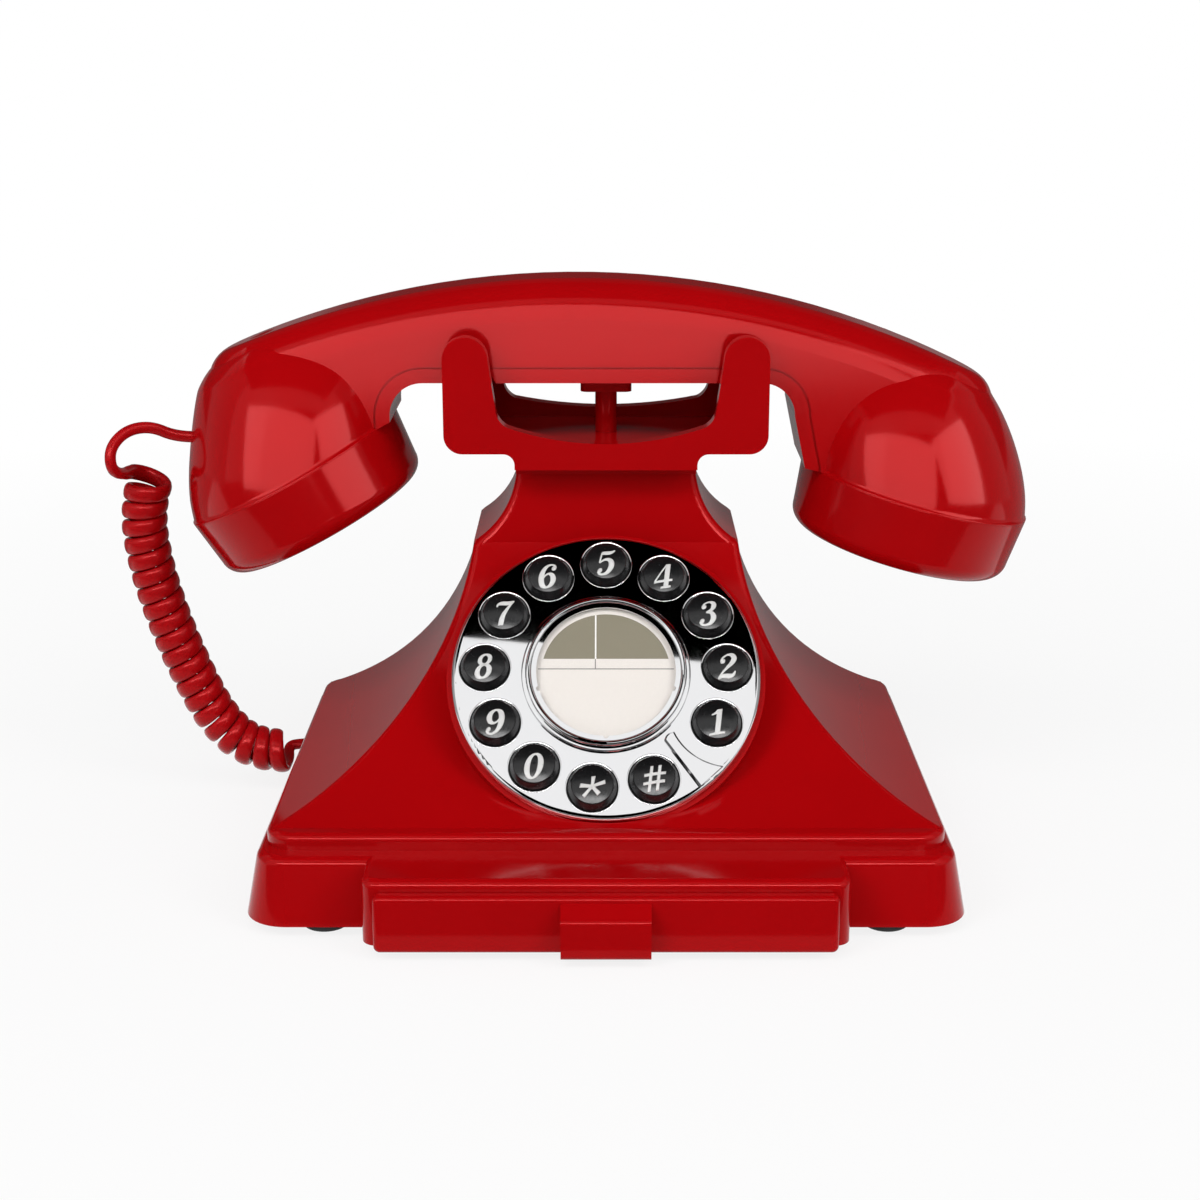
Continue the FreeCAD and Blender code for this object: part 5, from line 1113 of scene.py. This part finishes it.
class TELEPHONE_OT_stage(bpy.types.Operator):
    """Sets the room, floor, lamps, cards and camera, after the bells are made"""

    bl_idname = "telephone.stage"
    bl_label = "Set Stage"

    def execute(self, context):
        stage = context.scene.desk_telephone.stage
        self.room(context.scene, stage)
        self.floor(stage)
        for name, (power, sides, place) in LAMPS.items():
            self.lamp(name, getattr(stage, power), sides, place, mirrored=False)
        handset = [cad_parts[name] for name in HANDSET_MOULDINGS]
        handset += [bpy.data.objects[name] for name in BELLS]
        chrome = [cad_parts[name] for name in CHROME_PIECES]
        pieces = {"INCLUDE": handset, "EXCLUDE": handset + chrome}
        for name, (power, sides, place, state) in SOFT_BOXES.items():
            self.soft_box(name, getattr(stage, power), sides, place, pieces[state], state)
        for name, (sides, place, turn, glow) in STUDIO_CARDS.items():
            self.studio_card(name, sides, place, turn, glow)
        self.camera(context.scene, stage)
        context.scene.view_settings.view_transform = "Standard"
        return {"FINISHED"}

    def seen(self, tree):
        """1 for rays from the camera and for those that mirrors and glass pass on, else 0."""
        path = tree.nodes.new("ShaderNodeLightPath")
        found = path.outputs["Is Camera Ray"]
        for ray in ("Is Glossy Ray", "Is Transmission Ray"):
            either = tree.nodes.new("ShaderNodeMath")
            either.operation = "MAXIMUM"
            tree.links.new(found, either.inputs[0])
            tree.links.new(path.outputs[ray], either.inputs[1])
            found = either.outputs[0]
        return found

    def room(self, scene, stage):
        """A room that is seen as white and lights the telephone softly."""
        world = bpy.data.worlds.new("white_room")
        world.use_nodes = True
        tree = world.node_tree
        backdrop = next(node for node in tree.nodes if node.type == "BACKGROUND")
        backdrop.inputs["Color"].default_value = (*WHITE, 1.0)
        strength = tree.nodes.new("ShaderNodeMapRange")
        strength.inputs["To Min"].default_value = stage.ambient
        strength.inputs["To Max"].default_value = 1.0
        tree.links.new(self.seen(tree), strength.inputs["Value"])
        tree.links.new(strength.outputs["Result"], backdrop.inputs["Strength"])
        scene.world = world

    def floor(self, stage):
        """A pale floor that keeps the telephone's shadow and fades into the backdrop."""
        material, shader = new_finish("pale_floor")
        tree = material.node_tree
        tree.nodes.remove(shader)
        output = next(node for node in tree.nodes if node.type == "OUTPUT_MATERIAL")
        plain = tree.nodes.new("ShaderNodeBsdfDiffuse")
        plain.inputs["Color"].default_value = (*stage.floor_colour, 1.0)
        glow = tree.nodes.new("ShaderNodeEmission")
        both = tree.nodes.new("ShaderNodeMixShader")
        place = tree.nodes.new("ShaderNodeTexCoord")
        reach = tree.nodes.new("ShaderNodeVectorMath")
        reach.operation = "LENGTH"
        tree.links.new(place.outputs["Object"], reach.inputs[0])
        fade = tree.nodes.new("ShaderNodeMapRange")
        fade.inputs["From Min"].default_value = stage.fade_start
        fade.inputs["From Max"].default_value = stage.fade_end
        fade.inputs["To Min"].default_value = stage.floor_white
        tree.links.new(reach.outputs["Value"], fade.inputs["Value"])
        share = tree.nodes.new("ShaderNodeMath")
        share.operation = "MULTIPLY"
        tree.links.new(self.seen(tree), share.inputs[0])
        tree.links.new(fade.outputs["Result"], share.inputs[1])
        tree.links.new(share.outputs[0], both.inputs["Fac"])
        tree.links.new(plain.outputs[0], both.inputs[1])
        tree.links.new(glow.outputs[0], both.inputs[2])
        tree.links.new(both.outputs[0], output.inputs["Surface"])
        sheet("floor", (stage.floor_size, stage.floor_size), material)

    def lamp(self, name, power, sides, place, mirrored):
        """A soft rectangular lamp aimed at the telephone, mirrored or not by its polished faces."""
        lamp = bpy.data.lights.new(name, "AREA")
        lamp.shape = "RECTANGLE"
        lamp.size = sides[0]
        lamp.size_y = sides[1]
        lamp.energy = power
        holder = link(bpy.data.objects.new(name, lamp))
        holder.location = place
        holder.rotation_mode = "QUATERNION"
        holder.rotation_quaternion = (Vector(LAMP_AIM) - Vector(place)).to_track_quat("-Z", "Y")
        holder.visible_camera = False
        holder.visible_glossy = mirrored
        return holder

    def soft_box(self, name, power, sides, place, pieces, state):
        """A lamp that polished faces mirror and that gives no other light."""
        holder = self.lamp(name, power, sides, place, mirrored=True)
        holder.visible_diffuse = False
        group = bpy.data.collections.new(name + "_pieces")
        for piece in pieces:
            group.objects.link(piece)
        for item in group.collection_objects:
            item.light_linking.link_state = state
        holder.light_linking.receiver_collection = group

    def studio_card(self, name, sides, place, turn, glow):
        """A dark or grey card that only mirrors see."""
        material, shader = new_finish(name)
        shader.inputs["Base Color"].default_value = (*BLACK, 1.0)
        shader.inputs["Specular IOR Level"].default_value = 0.0
        shader.inputs["Emission Color"].default_value = (*WHITE, 1.0)
        shader.inputs["Emission Strength"].default_value = glow
        piece = sheet(name, sides, material)
        piece.location = place
        piece.rotation_euler = turn
        piece.visible_camera = False
        piece.visible_diffuse = False
        piece.visible_transmission = False
        piece.visible_shadow = False

    def camera(self, scene, stage):
        """The camera at the photograph's place and angle."""
        data = bpy.data.cameras.new("photo_camera")
        data.lens = stage.lens
        data.sensor_width = SENSOR_WIDTH
        data.shift_x = stage.shift
        data.clip_start = NEAREST
        data.clip_end = FARTHEST
        holder = link(bpy.data.objects.new("photo_camera", data))
        holder.location = stage.camera_place
        holder.rotation_euler = (UPRIGHT - stage.camera_dip, 0.0, 0.0)
        scene.camera = holder


class TELEPHONE_PT_panel(bpy.types.Panel):
    """Lists the telephone's operators and settings"""

    bl_label = "Desk Telephone"
    bl_idname = "TELEPHONE_PT_panel"
    bl_space_type = "VIEW_3D"
    bl_region_type = "UI"
    bl_category = "Telephone"

    def draw(self, context):
        layout = self.layout
        for operator in OPERATORS:
            layout.operator(operator.bl_idname)
        settings = context.scene.desk_telephone
        for part in TelephoneSettings.__annotations__:
            group = getattr(settings, part)
            column = layout.box().column()
            for name in group.__annotations__:
                column.prop(group, name)


OPERATORS = (
    TELEPHONE_OT_cord,
    TELEPHONE_OT_mouldings,
    TELEPHONE_OT_bells,
    TELEPHONE_OT_metalwork,
    TELEPHONE_OT_hole_edges,
    TELEPHONE_OT_keys,
    TELEPHONE_OT_card,
    TELEPHONE_OT_contacts,
    TELEPHONE_OT_stage,
)
SETTINGS = (
    PlasticSettings,
    MetalSettings,
    BellSettings,
    DialSettings,
    CordSettings,
    SocketSettings,
    StageSettings,
    TelephoneSettings,
)
CLASSES = SETTINGS + OPERATORS + (TELEPHONE_PT_panel,)


def register():
    for item in CLASSES:
        bpy.utils.register_class(item)
    bpy.types.Scene.desk_telephone = PointerProperty(type=TelephoneSettings)


def unregister():
    del bpy.types.Scene.desk_telephone
    for item in reversed(CLASSES):
        bpy.utils.unregister_class(item)


def main():
    register()
    bpy.ops.telephone.cord()
    bpy.ops.telephone.mouldings()
    bpy.ops.telephone.bells()
    bpy.ops.telephone.metalwork()
    bpy.ops.telephone.hole_edges()
    bpy.ops.telephone.keys()
    bpy.ops.telephone.card()
    bpy.ops.telephone.contacts()
    bpy.ops.telephone.stage()


if __name__ == "__main__":
    main()
